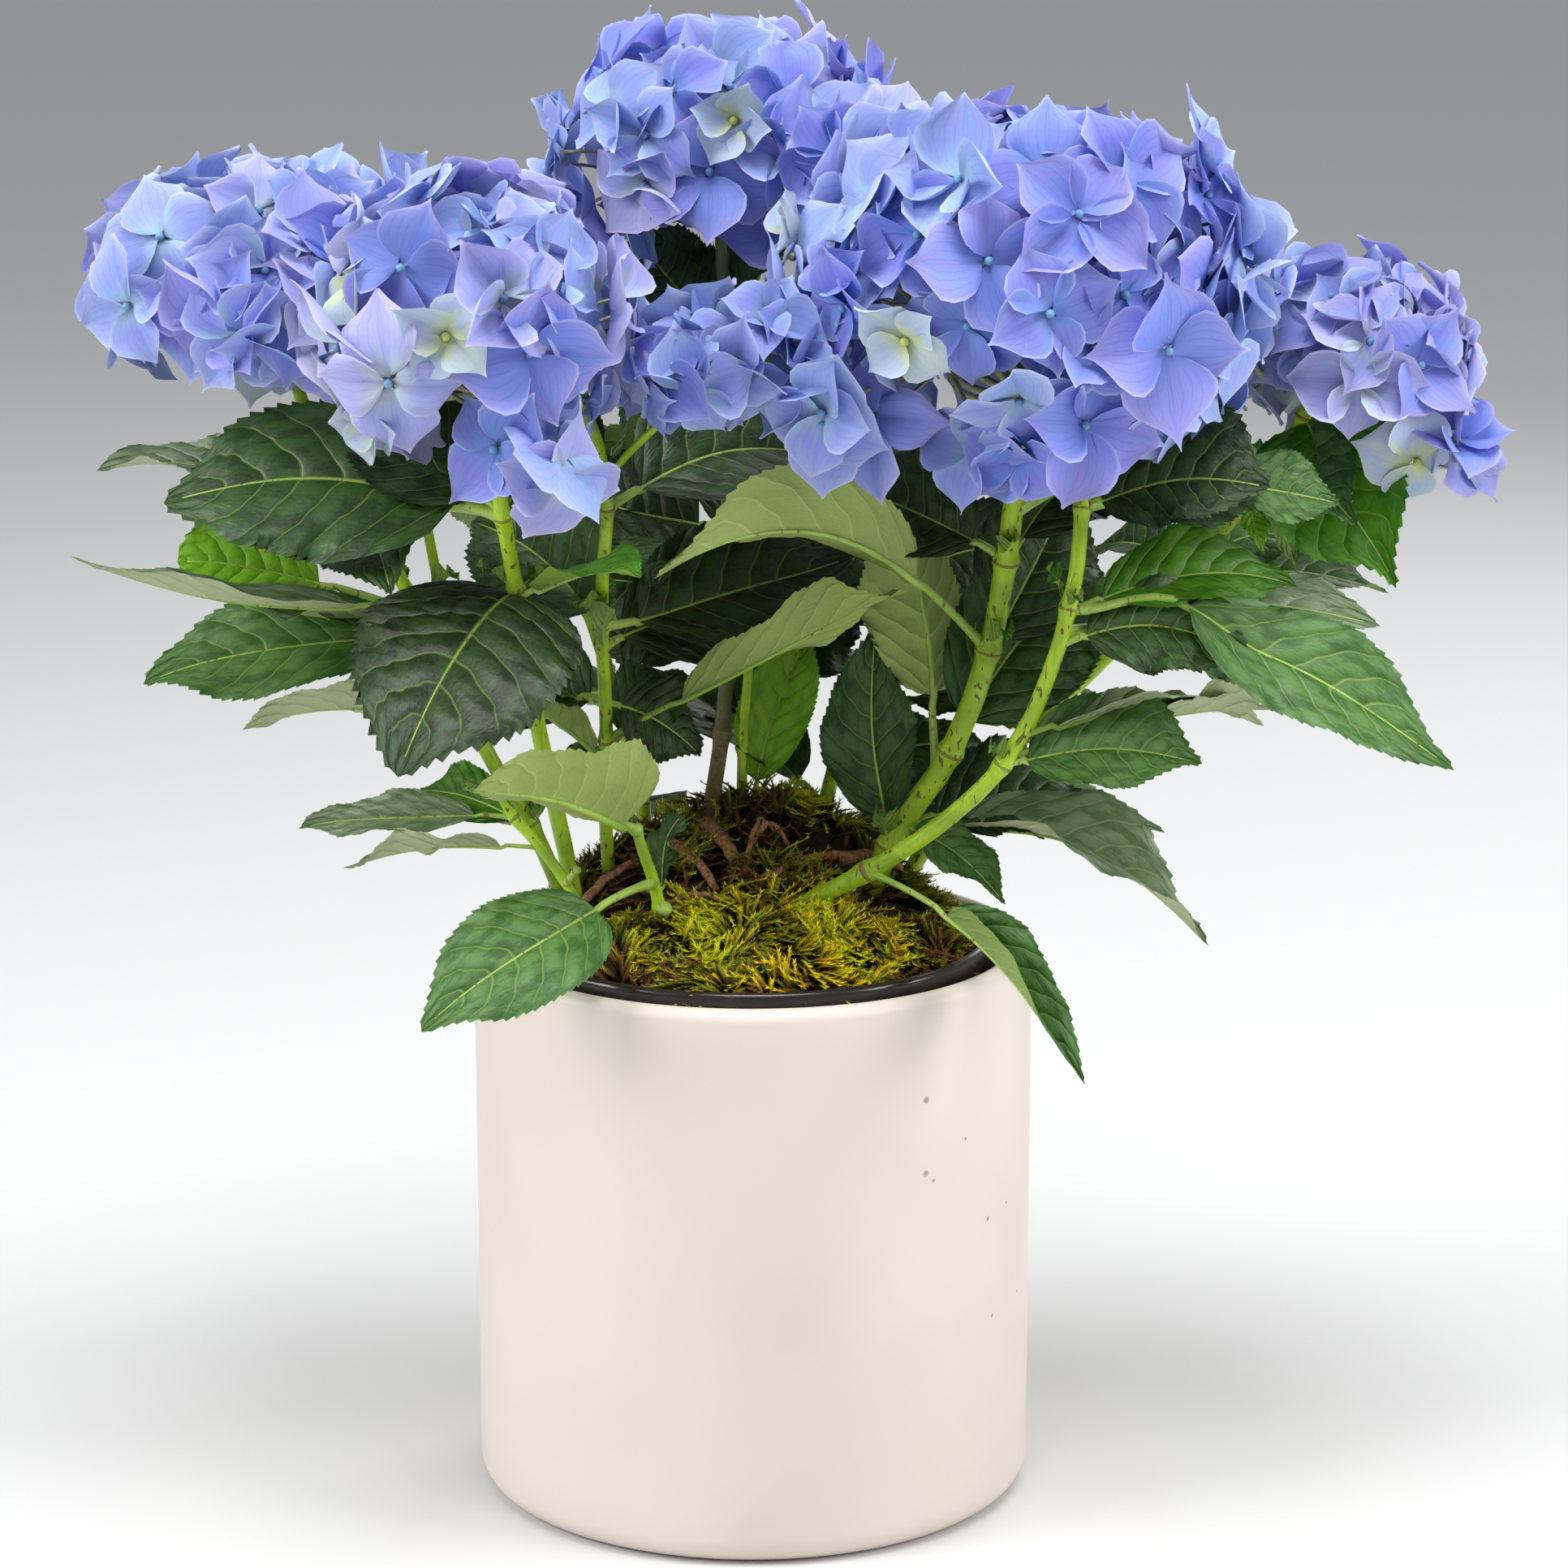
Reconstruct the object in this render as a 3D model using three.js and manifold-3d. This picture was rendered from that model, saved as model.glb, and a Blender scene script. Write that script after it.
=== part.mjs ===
// Hydrangea shrub in its planter. Millimetres, +Z up, front towards -Y.
// The origin is the centre of the planter's flat underside.
import * as THREE from 'three';
import { mergeVertices } from 'three/addons/utils/BufferGeometryUtils.js';
import Module from 'manifold-3d';

const wasm = await Module();
wasm.setup();

// ---- driving dimensions -------------------------------------------------

const GAP = 0.3; // clearance between pieces that touch

const PLANTER = { radius: 95, height: 190, wall: 8.3, floor: 9, lip: 3.6, foot: 7, segments: 30 };

// the plastic growing pot stands on the planter's floor, a little towards the front
const POT = { x: -1, y: -3.4, rimRadius: 82, topRadius: 79.5, baseRadius: 66, wall: 1.6,
  rimTop: 193.5, rimHeight: 9, segments: 24 };

const SOIL_TOP = 175.7; // top of the root ball inside the growing pot

// the moss is a low dome with two mounds behind the stems
const MOSS = { radius: 76.8, edge: 190.5, dome: 17, rings: 4, segments: 15,
  mounds: [{ x: 8, y: 38, rise: 33, spread: 28 }, { x: -54, y: 34, rise: 21, spread: 20 }] };

const STEM_SIDES = 6;
const STEM_STEP = 26; // length of one straight stretch of a stem

// stems and boughs: the route up from the flat foot, and the radius at foot and tip
const FOOT = SOIL_TOP + GAP;
const STEMS = {
  stem_right_thick: { foot: 5.2, tip: 4.1, route: [[30, 8, FOOT], [40, 7, 205], [49, 5, 227],
    [66, 0, 252], [79, -5, 290], [86, -20, 342], [88, -30, 378]] },
  stem_right_slender: { foot: 3.8, tip: 2.9, route: [[-6, -20, FOOT], [2, -23, 199], [38, -32, 220],
    [82, -45, 259], [103, -50, 313], [107, -45, 347], [109, -42, 374]] },
  stem_centre: { foot: 2.9, tip: 2.5, route: [[-46, 12, FOOT], [-50, 10, 220], [-49, 0, 262],
    [-50, -20, 307], [-47, -40, 357], [-58, -50, 388]] },
  stem_left: { foot: 3.6, tip: 3.0, route: [[-55, -8, FOOT], [-62, -10, 218], [-71, -20, 266],
    [-76, -40, 314], [-81, -60, 355], [-84, -66, 386]] },
  stem_far_left: { foot: 3.6, tip: 2.6, route: [[-60, 8, FOOT], [-67, 4, 212], [-89, 0, 253],
    [-110, 0, 300], [-121, 0, 320], [-142, 0, 355], [-155, 0, 392]] },
  stem_woody: { foot: 3.5, tip: 2.9, route: [[-18, 18, FOOT], [-15, 25, 225], [-9, 46, 266],
    [-9, 65, 333], [-11, 70, 430]] },
  stem_back_right: { foot: 3.4, tip: 2.7, route: [[15, 31, FOOT], [28, 45, 240], [50, 75, 300],
    [72, 97, 352], [82, 104, 382]] },
  stem_back_left: { foot: 3.2, tip: 2.6, route: [[-31, 34, FOOT], [-42, 50, 240], [-62, 74, 300],
    [-85, 84, 350], [-93, 85, 376]] },
  stem_far_right: { foot: 3.6, tip: 2.7, route: [[36, 26, FOOT], [70, 45, 225], [120, 48, 275],
    [158, 40, 320], [175, 30, 345], [190, 24, 374]] },
  shoot_centre: { foot: 2.6, tip: 1.8, route: [[1, 26, FOOT], [-4, 35, 222], [-3, 37, 262],
    [2, 41, 302]] },
  shoot_front_left: { foot: 3.0, tip: 2.2, route: [[-28, -28, FOOT], [-31, -30, 212],
    [-35, -35, 225], [-39, -38, 237]] },
  shoot_low_left: { foot: 2.8, tip: 2.0, route: [[-48, -20, FOOT], [-58, -22, 210],
    [-76, -19, 232], [-86, -18, 243]] },
  bough_small_bloom: { foot: 1.7, tip: 1.4, route: [[-47, -39, 355], [-35, -46, 368],
    [-24, -54, 378]] },
  bough_far_left: { foot: 2.3, tip: 1.9, route: [[-98, 1, 276], [-107, 8, 318], [-113, 12, 350],
    [-132, 10, 392]] },
};

// blooms: middle, half sizes along X, Y and Z, and how far each leans over to one side
const BLOOMS = {
  bloom_front_right: { at: [88, -38, 413], half: [85, 66, 66], lean: 3 },
  bloom_left: { at: [-88, -64, 404], half: [53, 50, 53], lean: 4 },
  bloom_far_left: { at: [-174, 2, 415], half: [51, 46, 44], lean: 16 },
  bloom_rear_top: { at: [-11, 68, 453], half: [66, 54, 42], lean: 2 },
  bloom_far_right: { at: [200, 20, 382], half: [52, 44, 43], lean: -26 },
  bloom_small: { at: [-20, -60, 391], half: [25, 23, 26], lean: 0 },
  bloom_back_right: { at: [86, 112, 398], half: [54, 46, 42], lean: 0 },
  bloom_back_left: { at: [-98, 92, 392], half: [44, 38, 38], lean: 6 },
};

// masses of foliage. Each lobe starts on a stem at a height, and runs off at an azimuth and a
// rise in degrees, for a reach. It is as wide as named, arches up or down and rolls on its axis.
const lobe = (stem, height, azimuth, rise, reach, width, arch = 6, roll = 0) =>
  ({ stem, height, azimuth, rise, reach, width, arch, roll });
const FOLIAGE = {
  leaves_left_top: [lobe('stem_left', 345, -169, 5, 107, 64, 8, -50)],
  leaves_far_left: [lobe('stem_far_left', 309, 170, 20, 118, 46, 8, -8),
    lobe('stem_far_left', 304, -151, 13, 126, 50, 4, -12)],
  leaves_left_middle: [lobe('stem_far_left', 284, -163, 1, 98, 56, 8, -28),
    lobe('stem_far_left', 279, 158, -8, 92, 44, 4, -5)],
  leaves_left_round: [lobe('stem_left', 310, -116, -26, 97, 76, 8, -12)],
  leaves_left_inner: [lobe('stem_left', 311, -55, 19, 75, 40, 5, 10)],
  leaves_front_left_pale: [lobe('shoot_front_left', 231, -131, 29, 90, 56, 10, 55)],
  leaves_front_left_low: [lobe('shoot_front_left', 216, -127, -9, 114, 62, 8, -38)],
  leaves_low_left: [lobe('shoot_low_left', 236, -147, 6, 84, 44, 5, -10),
    lobe('shoot_low_left', 230, -176, -4, 62, 38, 4, -8)],
  leaves_low_left_back: [lobe('stem_far_left', 225, 165, 8, 84, 48, 6, -15)],
  leaves_centre_arching: [lobe('stem_right_thick', 287, -148, 20, 139, 52, 20, 55)],
  leaves_centre_rising: [lobe('stem_centre', 247, -32, 35, 122, 48, 12, 35)],
  leaves_centre_bright: [lobe('shoot_centre', 233, 8, 56, 68, 36, 2, 80)],
  leaves_centre_dark: [lobe('stem_right_thick', 227, 150, 66, 68, 42, 2, -80)],
  leaves_centre_back: [lobe('stem_centre', 300, 34, 9, 104, 64, 6, 45)],
  leaves_under_blooms: [lobe('stem_centre', 344, 42, 4, 92, 58, 5, 40)],
  leaves_centre_upright: [lobe('stem_right_thick', 252, 92, 70, 92, 44, 3, 70)],
  leaves_right_long: [lobe('stem_right_slender', 312, -9, -21, 135, 66, 22, 48)],
  leaves_right_under_bloom: [lobe('stem_right_slender', 344, -16, 12, 62, 52, 4, 28)],
  leaves_right_top: [lobe('stem_far_right', 347, -41, -34, 78, 56, 10, 40),
    lobe('stem_far_right', 340, -62, 8, 52, 38, 4, 25)],
  leaves_right_back: [lobe('stem_right_slender', 305, 34, -15, 84, 52, 6, 30)],
  leaves_right_far_back: [lobe('stem_far_right', 300, 6, 1, 78, 50, 5, 20)],
  leaves_right_middle: [lobe('stem_right_slender', 256, -14, 6, 68, 46, 4, 32)],
  leaves_right_inner: [lobe('stem_right_slender', 264, 36, 5, 114, 48, 6, 8)],
  leaves_right_low: [lobe('stem_right_thick', 223, -20, -9, 114, 60, 6, 38),
    lobe('stem_right_thick', 223, 14, 0, 98, 42, 5, 10)],
  leaves_rim_right: [lobe('stem_right_slender', 218, -47, -26, 115, 40, 14, 25)],
  leaves_back_left_high: [lobe('stem_back_left', 322, 150, -6, 98, 58, 9, 22),
    lobe('stem_back_left', 318, 112, -10, 92, 56, 9, -5)],
  leaves_back_left_low: [lobe('stem_back_left', 262, 158, -8, 96, 56, 10, 15),
    lobe('stem_back_left', 258, 120, -14, 88, 54, 10, 5)],
  leaves_back_centre: [lobe('stem_woody', 306, 98, -6, 100, 64, 10, 12)],
  leaves_back_centre_low: [lobe('stem_woody', 248, 92, -6, 96, 58, 12, -8)],
  leaves_back_right_high: [lobe('stem_back_right', 330, 24, -6, 98, 58, 9, -20),
    lobe('stem_back_right', 324, 64, -10, 94, 58, 9, 5)],
  leaves_back_right_low: [lobe('stem_back_right', 268, 30, -8, 98, 56, 10, -15),
    lobe('stem_back_right', 262, 68, -12, 88, 56, 10, -5)],
};
const LOBE_THICK = 12; // thickness in the middle of a mass's lobe
const LOBE_SHAPE = { sides: 6, rings: 6, stalk: 2.6, hub: 6.5 };

// ---- materials ----------------------------------------------------------

const finish = (color, roughness) => new THREE.MeshStandardMaterial({ color, roughness, metalness: 0 });
const FINISH = {
  ceramic: finish(0xebe3dc, 0.5),
  plastic: finish(0x2a211d, 0.3),
  soil: finish(0x3a2a1e, 0.95),
  moss: finish(0x8a8420, 0.95),
  stem: finish(0x8fae4c, 0.55),
  wood: finish(0x6d4a34, 0.8),
  petal: finish(0x7d8ce0, 0.6),
  leaf: finish(0x35592f, 0.5),
};

// ---- solids -------------------------------------------------------------

/** A closed geometry as a solid for cutting and joining. */
function solid(geometry) {
  const bare = geometry.clone();
  bare.deleteAttribute('normal');
  bare.deleteAttribute('uv');
  const merged = mergeVertices(bare, 1e-4);
  const faces = [];
  const index = merged.index.array;
  for (let i = 0; i < index.length; i += 3) {
    const [a, b, c] = [index[i], index[i + 1], index[i + 2]];
    if (a !== b && b !== c && c !== a) faces.push(a, b, c);
  }
  const mesh = new wasm.Mesh({
    numProp: 3,
    vertProperties: new Float32Array(merged.attributes.position.array),
    triVerts: new Uint32Array(faces),
  });
  return new wasm.Manifold(mesh);
}

/** The largest body of a solid, as a geometry: slivers left by a cut are dropped. */
function geometryOf(manifold) {
  const bodies = manifold.decompose();
  bodies.sort((a, b) => b.volume() - a.volume());
  const mesh = bodies[0].getMesh();
  const geometry = new THREE.BufferGeometry();
  geometry.setAttribute('position', new THREE.BufferAttribute(mesh.vertProperties, 3));
  geometry.setIndex(new THREE.BufferAttribute(mesh.triVerts, 1));
  geometry.computeVertexNormals();
  return geometry;
}

/** Moves every vertex of a geometry by a rule. */
function reshape(geometry, rule) {
  const position = geometry.attributes.position;
  const point = new THREE.Vector3();
  for (let i = 0; i < position.count; i += 1) {
    point.fromBufferAttribute(position, i);
    const moved = rule(point);
    position.setXYZ(i, moved.x, moved.y, moved.z);
  }
  return geometry;
}

/** A profile of radius and height turned about the upright axis. */
function turned(profile, segments) {
  const points = profile.map(([radius, height]) => new THREE.Vector2(radius, height));
  return new THREE.LatheGeometry(points, segments).rotateX(Math.PI / 2);
}

/** Points of a quarter round in a profile, from one angle to another in degrees. */
function round(radius, height, size, from, to, steps = 3) {
  const points = [];
  for (let i = 0; i <= steps; i += 1) {
    const angle = THREE.MathUtils.degToRad(from + ((to - from) * i) / steps);
    points.push([radius + size * Math.cos(angle), height + size * Math.sin(angle)]);
  }
  return points;
}

// ---- planter, growing pot, root ball and moss ----------------------------

function planter() {
  const { radius, height, wall, floor, lip, foot, segments } = PLANTER;
  const inner = radius - wall;
  const profile = [
    [0, 0],
    ...round(radius - foot, foot, foot, -90, 0),
    ...round(radius - lip, height - lip, lip, 0, 90, 2),
    ...round(inner + lip, height - lip, lip, 90, 180, 2),
    [inner, floor + foot],
    [inner - foot, floor],
    [0, floor],
  ];
  return solid(turned(profile, segments));
}

const potFloor = PLANTER.floor + GAP;

function growingPot() {
  const { rimRadius, topRadius, baseRadius, wall, rimTop, rimHeight, segments, x, y } = POT;
  const bead = rimRadius - topRadius + wall;
  const profile = [
    [0, potFloor],
    [baseRadius, potFloor],
    [topRadius, rimTop - rimHeight],
    [rimRadius, rimTop - rimHeight + 1],
    ...round(rimRadius - bead / 2, rimTop - bead / 2, bead / 2, 0, 180, 4),
    [topRadius - wall, rimTop - rimHeight],
    [baseRadius - wall, potFloor + wall],
    [0, potFloor + wall],
  ];
  return solid(turned(profile, segments).translate(x, y, 0));
}

function rootBall() {
  const { topRadius, baseRadius, wall, rimTop, rimHeight, segments, x, y } = POT;
  const low = potFloor + wall + GAP;
  const depth = rimTop - rimHeight - potFloor;
  const slope = (topRadius - baseRadius) / depth;
  const inset = wall + GAP * 2;
  const radiusAt = (height) => baseRadius - inset + slope * (height - potFloor);
  const profile = [[0, low], [radiusAt(low), low], [radiusAt(SOIL_TOP), SOIL_TOP], [0, SOIL_TOP]];
  return solid(turned(profile, segments / 2).translate(x, y, 0));
}

/** Height of the moss above a point. */
function mossHeight(x, y) {
  const across = Math.hypot(x - POT.x, y - POT.y) / MOSS.radius;
  let height = MOSS.edge + MOSS.dome * (1 - across ** 2);
  for (const mound of MOSS.mounds) {
    const off = Math.hypot(x - mound.x, y - mound.y) / mound.spread;
    height += mound.rise * Math.exp(-(off ** 2) / 2) * (1 - across ** 4);
  }
  return height + 2 * Math.sin(0.21 * x + 1.3) * Math.sin(0.17 * y + 0.4);
}

function moss(grow = 0) {
  const low = SOIL_TOP + GAP;
  const radius = MOSS.radius + grow;
  const profile = [[0, low], [radius, low]];
  for (let ring = MOSS.rings; ring >= 0; ring -= 1) {
    profile.push([(radius * ring) / MOSS.rings, low + 1]);
  }
  const disc = turned(profile, MOSS.segments).translate(POT.x, POT.y, 0);
  const top = (p) => (p.z > low + 0.5 ? p.setZ(mossHeight(p.x, p.y) + grow) : p);
  return solid(reshape(disc, top));
}

// ---- stems ---------------------------------------------------------------

const routes = {};
for (const [name, { route }] of Object.entries(STEMS)) {
  const points = route.map((p) => new THREE.Vector3(...p));
  routes[name] = new THREE.CatmullRomCurve3(points, false, 'centripetal');
}

/** A tapering limb bent along its route. */
function limb(name, grow = 0) {
  const { foot, tip } = STEMS[name];
  const path = routes[name];
  const steps = Math.max(3, Math.round(path.getLength() / STEM_STEP));
  const frames = path.computeFrenetFrames(steps);
  const straight = new THREE.CylinderGeometry(tip + grow, foot + grow, 1, STEM_SIDES, steps);
  const flat = path.getPointAt(0).z;
  const bent = reshape(straight, (p) => {
    const ring = Math.round((p.y + 0.5) * steps);
    const centre = path.getPointAt(ring / steps);
    const moved = centre.clone();
    moved.addScaledVector(frames.normals[ring], p.x);
    moved.addScaledVector(frames.binormals[ring], -p.z);
    const heading = frames.tangents[ring];
    if (ring === steps) moved.addScaledVector(heading, grow);
    if (ring === 0) moved.addScaledVector(heading, (flat - grow - moved.z) / heading.z);
    return moved;
  });
  return solid(bent);
}

/** The point of a stem's route at a height. */
function stemPoint(name, height) {
  const path = routes[name];
  let [low, high] = [0, 1];
  for (let i = 0; i < 24; i += 1) {
    const middle = (low + high) / 2;
    if (path.getPointAt(middle).z < height) low = middle;
    else high = middle;
  }
  return path.getPointAt(low);
}

// ---- blooms --------------------------------------------------------------

/** A domed bloom: full above, flatter below, and uneven all round. */
function bloom({ at, half, lean }, seed, grow = 0) {
  const ball = new THREE.SphereGeometry(1, 12, 8).rotateX(Math.PI / 2);
  const shape = reshape(ball, (p) => {
    const azimuth = Math.atan2(p.y, p.x);
    const level = Math.hypot(p.x, p.y);
    const waves = 0.06 * Math.sin(3 * azimuth + seed) + 0.05 * Math.sin(5 * azimuth + 2.3 * seed);
    const size = 1 + level * (waves + 0.06 * Math.sin(5 * p.z + 2 * azimuth + seed));
    const under = p.z < 0 ? 0.88 : 1;
    p.set(p.x * size * half[0], p.y * size * half[1], p.z * under * half[2]);
    return p.multiplyScalar(1 + grow / p.length());
  });
  shape.rotateY(THREE.MathUtils.degToRad(-lean)).translate(...at);
  return solid(shape);
}

// ---- foliage -------------------------------------------------------------

/** One lobe of a mass: a stalk that opens into a pad with a leaf's outline. */
function pad(spec, seed, grow = 0) {
  const azimuth = THREE.MathUtils.degToRad(spec.azimuth);
  const rise = THREE.MathUtils.degToRad(spec.rise);
  const roll = THREE.MathUtils.degToRad(spec.roll);
  const along = new THREE.Vector3(Math.cos(azimuth) * Math.cos(rise), Math.sin(azimuth) * Math.cos(rise),
    Math.sin(rise));
  const across = new THREE.Vector3(-Math.sin(azimuth), Math.cos(azimuth), 0).applyAxisAngle(along, roll);
  const up = new THREE.Vector3().crossVectors(along, across);
  const start = stemPoint(spec.stem, spec.height);
  const { sides, rings, stalk } = LOBE_SHAPE;
  const ball = new THREE.SphereGeometry(1, sides, rings);
  return solid(reshape(ball, (p) => {
    const u = (p.y + 1) / 2;
    const ring = Math.hypot(p.x, p.z);
    const [sideways, upward] = ring < 1e-6 ? [0, 0] : [-p.x / ring, p.z / ring];
    const blade = Math.max(0, Math.sin(Math.PI * Math.max(0, (u - 0.08) / 0.92) ** 0.82));
    const inside = ring < 1e-6 ? 0 : 1;
    const uneven = 1 + 0.1 * Math.sin(9 * u + seed + 2 * sideways);
    const halfWidth = inside * (Math.max(stalk, (spec.width / 2) * blade * uneven) + grow);
    const halfThick = inside * (Math.max(stalk, (LOBE_THICK / 2) * blade) + grow);
    const reach = spec.reach * u + grow * (2 * u - 1);
    const moved = start.clone().addScaledVector(along, reach);
    moved.addScaledVector(across, sideways * halfWidth);
    moved.addScaledVector(up, upward * halfThick);
    moved.z += spec.arch * 4 * u * (1 - u);
    return moved;
  }));
}

/** The knot of leaf stalks round the stem, which joins the lobes of one mass. */
function hub(spec, grow = 0) {
  const ball = new THREE.SphereGeometry(LOBE_SHAPE.hub + grow, 6, 4).rotateX(Math.PI / 2);
  return solid(ball.translate(...stemPoint(spec.stem, spec.height).toArray()));
}

function mass(lobes, seed, grow = 0) {
  let whole = pad(lobes[0], seed, grow);
  for (const [i, spec] of lobes.slice(1).entries()) {
    whole = whole.add(pad(spec, seed + i + 1, grow)).add(hub(spec, grow));
  }
  return whole;
}

// ---- assembly ------------------------------------------------------------

const shrub = new THREE.Group();
const cutters = []; // everything already placed, grown by the clearance

/** Places a solid, cut clear of what is already there. */
function place(name, body, material, grown) {
  let cut = body;
  for (const cutter of cutters) cut = cut.subtract(cutter);
  const mesh = new THREE.Mesh(geometryOf(cut), material);
  mesh.name = name;
  shrub.add(mesh);
  if (grown) cutters.push(grown);
}

place('planter', planter(), FINISH.ceramic, planter());
place('growing_pot', growingPot(), FINISH.plastic, growingPot());
place('root_ball', rootBall(), FINISH.soil);
for (const name of Object.keys(STEMS)) {
  const material = name === 'stem_woody' ? FINISH.wood : FINISH.stem;
  place(name, limb(name), material, limb(name, GAP));
}
place('moss_bed', moss(), FINISH.moss, moss(GAP));
for (const [seed, [name, spec]] of Object.entries(BLOOMS).entries()) {
  place(name, bloom(spec, seed), FINISH.petal, bloom(spec, seed, GAP));
}
for (const [seed, [name, lobes]] of Object.entries(FOLIAGE).entries()) {
  place(name, mass(lobes, seed), FINISH.leaf, mass(lobes, seed, GAP));
}

export default shrub;
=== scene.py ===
"""Looks of a potted hydrangea shrub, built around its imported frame.

Metres, +Z up, front towards -Y. Stems, leaves, flower heads and moss take their places from the
frame's CAD nodes, and every random choice comes from a seed.
"""

import logging
import math
from dataclasses import dataclass, field
from enum import Enum
from functools import partialmethod

import bmesh
import bpy
import numpy as np
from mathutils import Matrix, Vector, noise
from mathutils.bvhtree import BVHTree


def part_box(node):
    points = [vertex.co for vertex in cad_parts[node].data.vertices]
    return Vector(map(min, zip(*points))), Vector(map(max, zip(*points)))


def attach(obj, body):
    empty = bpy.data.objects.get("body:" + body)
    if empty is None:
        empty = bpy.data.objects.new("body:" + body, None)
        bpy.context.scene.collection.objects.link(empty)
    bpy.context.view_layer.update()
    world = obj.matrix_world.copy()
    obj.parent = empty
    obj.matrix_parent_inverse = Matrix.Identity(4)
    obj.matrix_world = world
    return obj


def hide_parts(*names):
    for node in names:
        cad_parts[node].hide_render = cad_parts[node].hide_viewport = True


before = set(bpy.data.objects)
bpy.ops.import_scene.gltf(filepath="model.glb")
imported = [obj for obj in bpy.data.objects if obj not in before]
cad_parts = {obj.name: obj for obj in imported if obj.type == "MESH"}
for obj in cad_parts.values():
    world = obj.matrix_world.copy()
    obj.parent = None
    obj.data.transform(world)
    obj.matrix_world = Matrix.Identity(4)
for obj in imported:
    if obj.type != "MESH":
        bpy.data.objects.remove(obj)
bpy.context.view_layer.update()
MM = 0.001
LOG = logging.getLogger("hydrangea")
Array = np.ndarray
Color = int
Triple = tuple[float, float, float]
Profile = list[tuple[float, float]]
SKY = np.array([0.0, 0.0, 1.0])
EAST = np.array([1.0, 0.0, 0.0])
GOLDEN = math.pi * (3 - math.sqrt(5))


# ---- small tools ----


def linear(color: Color) -> Triple:
    """A colour as the linear values that a shader takes.

    Args:
        color: Its eight-bit screen values, written 0xRRGGBB.

    Returns:
        Its red, green and blue from 0 to 1.
    """
    shares = [(color >> shift & 255) / 255 for shift in (16, 8, 0)]
    return tuple(share / 12.92 if share <= 0.04045 else ((share + 0.055) / 1.055) ** 2.4 for share in shares)


def unit(vectors: Array) -> Array:
    """Directions of length one."""
    length = np.linalg.norm(vectors, axis=-1, keepdims=True)
    return vectors / np.maximum(length, 1e-12)


def turn(vectors: Array, axis: Array, degrees: float | Array) -> Array:
    """Vectors turned about axes of length one, each by its own angle.

    Args:
        vectors: The vectors, one in each row.
        axis: One axis, or one in each row.
        degrees: One angle, or one for each row.

    Returns:
        The turned vectors.
    """
    angle = np.radians(np.asarray(degrees, float))[..., None]
    along = np.sum(vectors * axis, axis=-1, keepdims=True) * axis
    return along + (vectors - along) * np.cos(angle) + np.cross(axis, vectors) * np.sin(angle)


def smooth_step(low: float, high: float, values: Array) -> Array:
    """0 below low, 1 above high, and an even ease between them."""
    share = np.clip((values - low) / (high - low), 0, 1)
    return share * share * (3 - 2 * share)


def level_way(angle: float) -> Array:
    """The level direction at an angle in radians."""
    return np.array([math.cos(angle), math.sin(angle), 0.0])


def way_to(angle: float, level: float) -> Array:
    """The direction at an angle in radians about the upright axis, with level as the sine of its height."""
    flat = math.sqrt(1 - level * level)
    return np.array([flat * math.cos(angle), flat * math.sin(angle), level])


def corners_of(node: str) -> Array:
    """The corners of a CAD node, one in each row."""
    return np.array([vertex.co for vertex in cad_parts[node].data.vertices], float)


def surface_of(node: str) -> BVHTree:
    """A CAD node's surface, ready for rays."""
    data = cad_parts[node].data
    return BVHTree.FromPolygons([v.co for v in data.vertices], [p.vertices[:] for p in data.polygons])


def below(tree: BVHTree, x: float, y: float) -> tuple[Vector | None, Vector | None]:
    """The uppermost point of a surface at a place, and its normal."""
    return tree.ray_cast(Vector((x, y, 1)), Vector((0, 0, -1)))[:2]


# ---- shader maths ----


class Value:
    """A shader socket that takes part in plain arithmetic.

    Each operator adds a Math node over this value and the next, which may be a number.
    """

    def __init__(self, shader: "Shader", socket: bpy.types.NodeSocket) -> None:
        """Wraps a socket of a shader's node tree."""
        self.shader = shader
        self.socket = socket

    def _math(self, operation: str, *others: "Value | float") -> "Value":
        """Adds one Math node over this and the others."""
        return self.shader.node("Math", {"operation": operation}, dict(enumerate((self, *others))))

    __add__ = __radd__ = partialmethod(_math, "ADD")
    __sub__ = partialmethod(_math, "SUBTRACT")
    __mul__ = __rmul__ = partialmethod(_math, "MULTIPLY")
    __truediv__ = partialmethod(_math, "DIVIDE")
    __pow__ = partialmethod(_math, "POWER")
    __gt__ = partialmethod(_math, "GREATER_THAN")
    __abs__ = partialmethod(_math, "ABSOLUTE")
    fraction = partialmethod(_math, "FRACT")
    most = partialmethod(_math, "MAXIMUM")

    def __rsub__(self, other: float) -> "Value":
        """Other less this."""
        return self.shader.node("Math", {"operation": "SUBTRACT"}, {0: other, 1: self})

    def eased(self, low: float, high: float) -> "Value":
        """0 at low, 1 at high, and an even ease between them."""
        inputs = {"Value": self, "From Min": low, "From Max": high}
        return self.shader.node("MapRange", {"interpolation_type": "SMOOTHSTEP"}, inputs)


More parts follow.
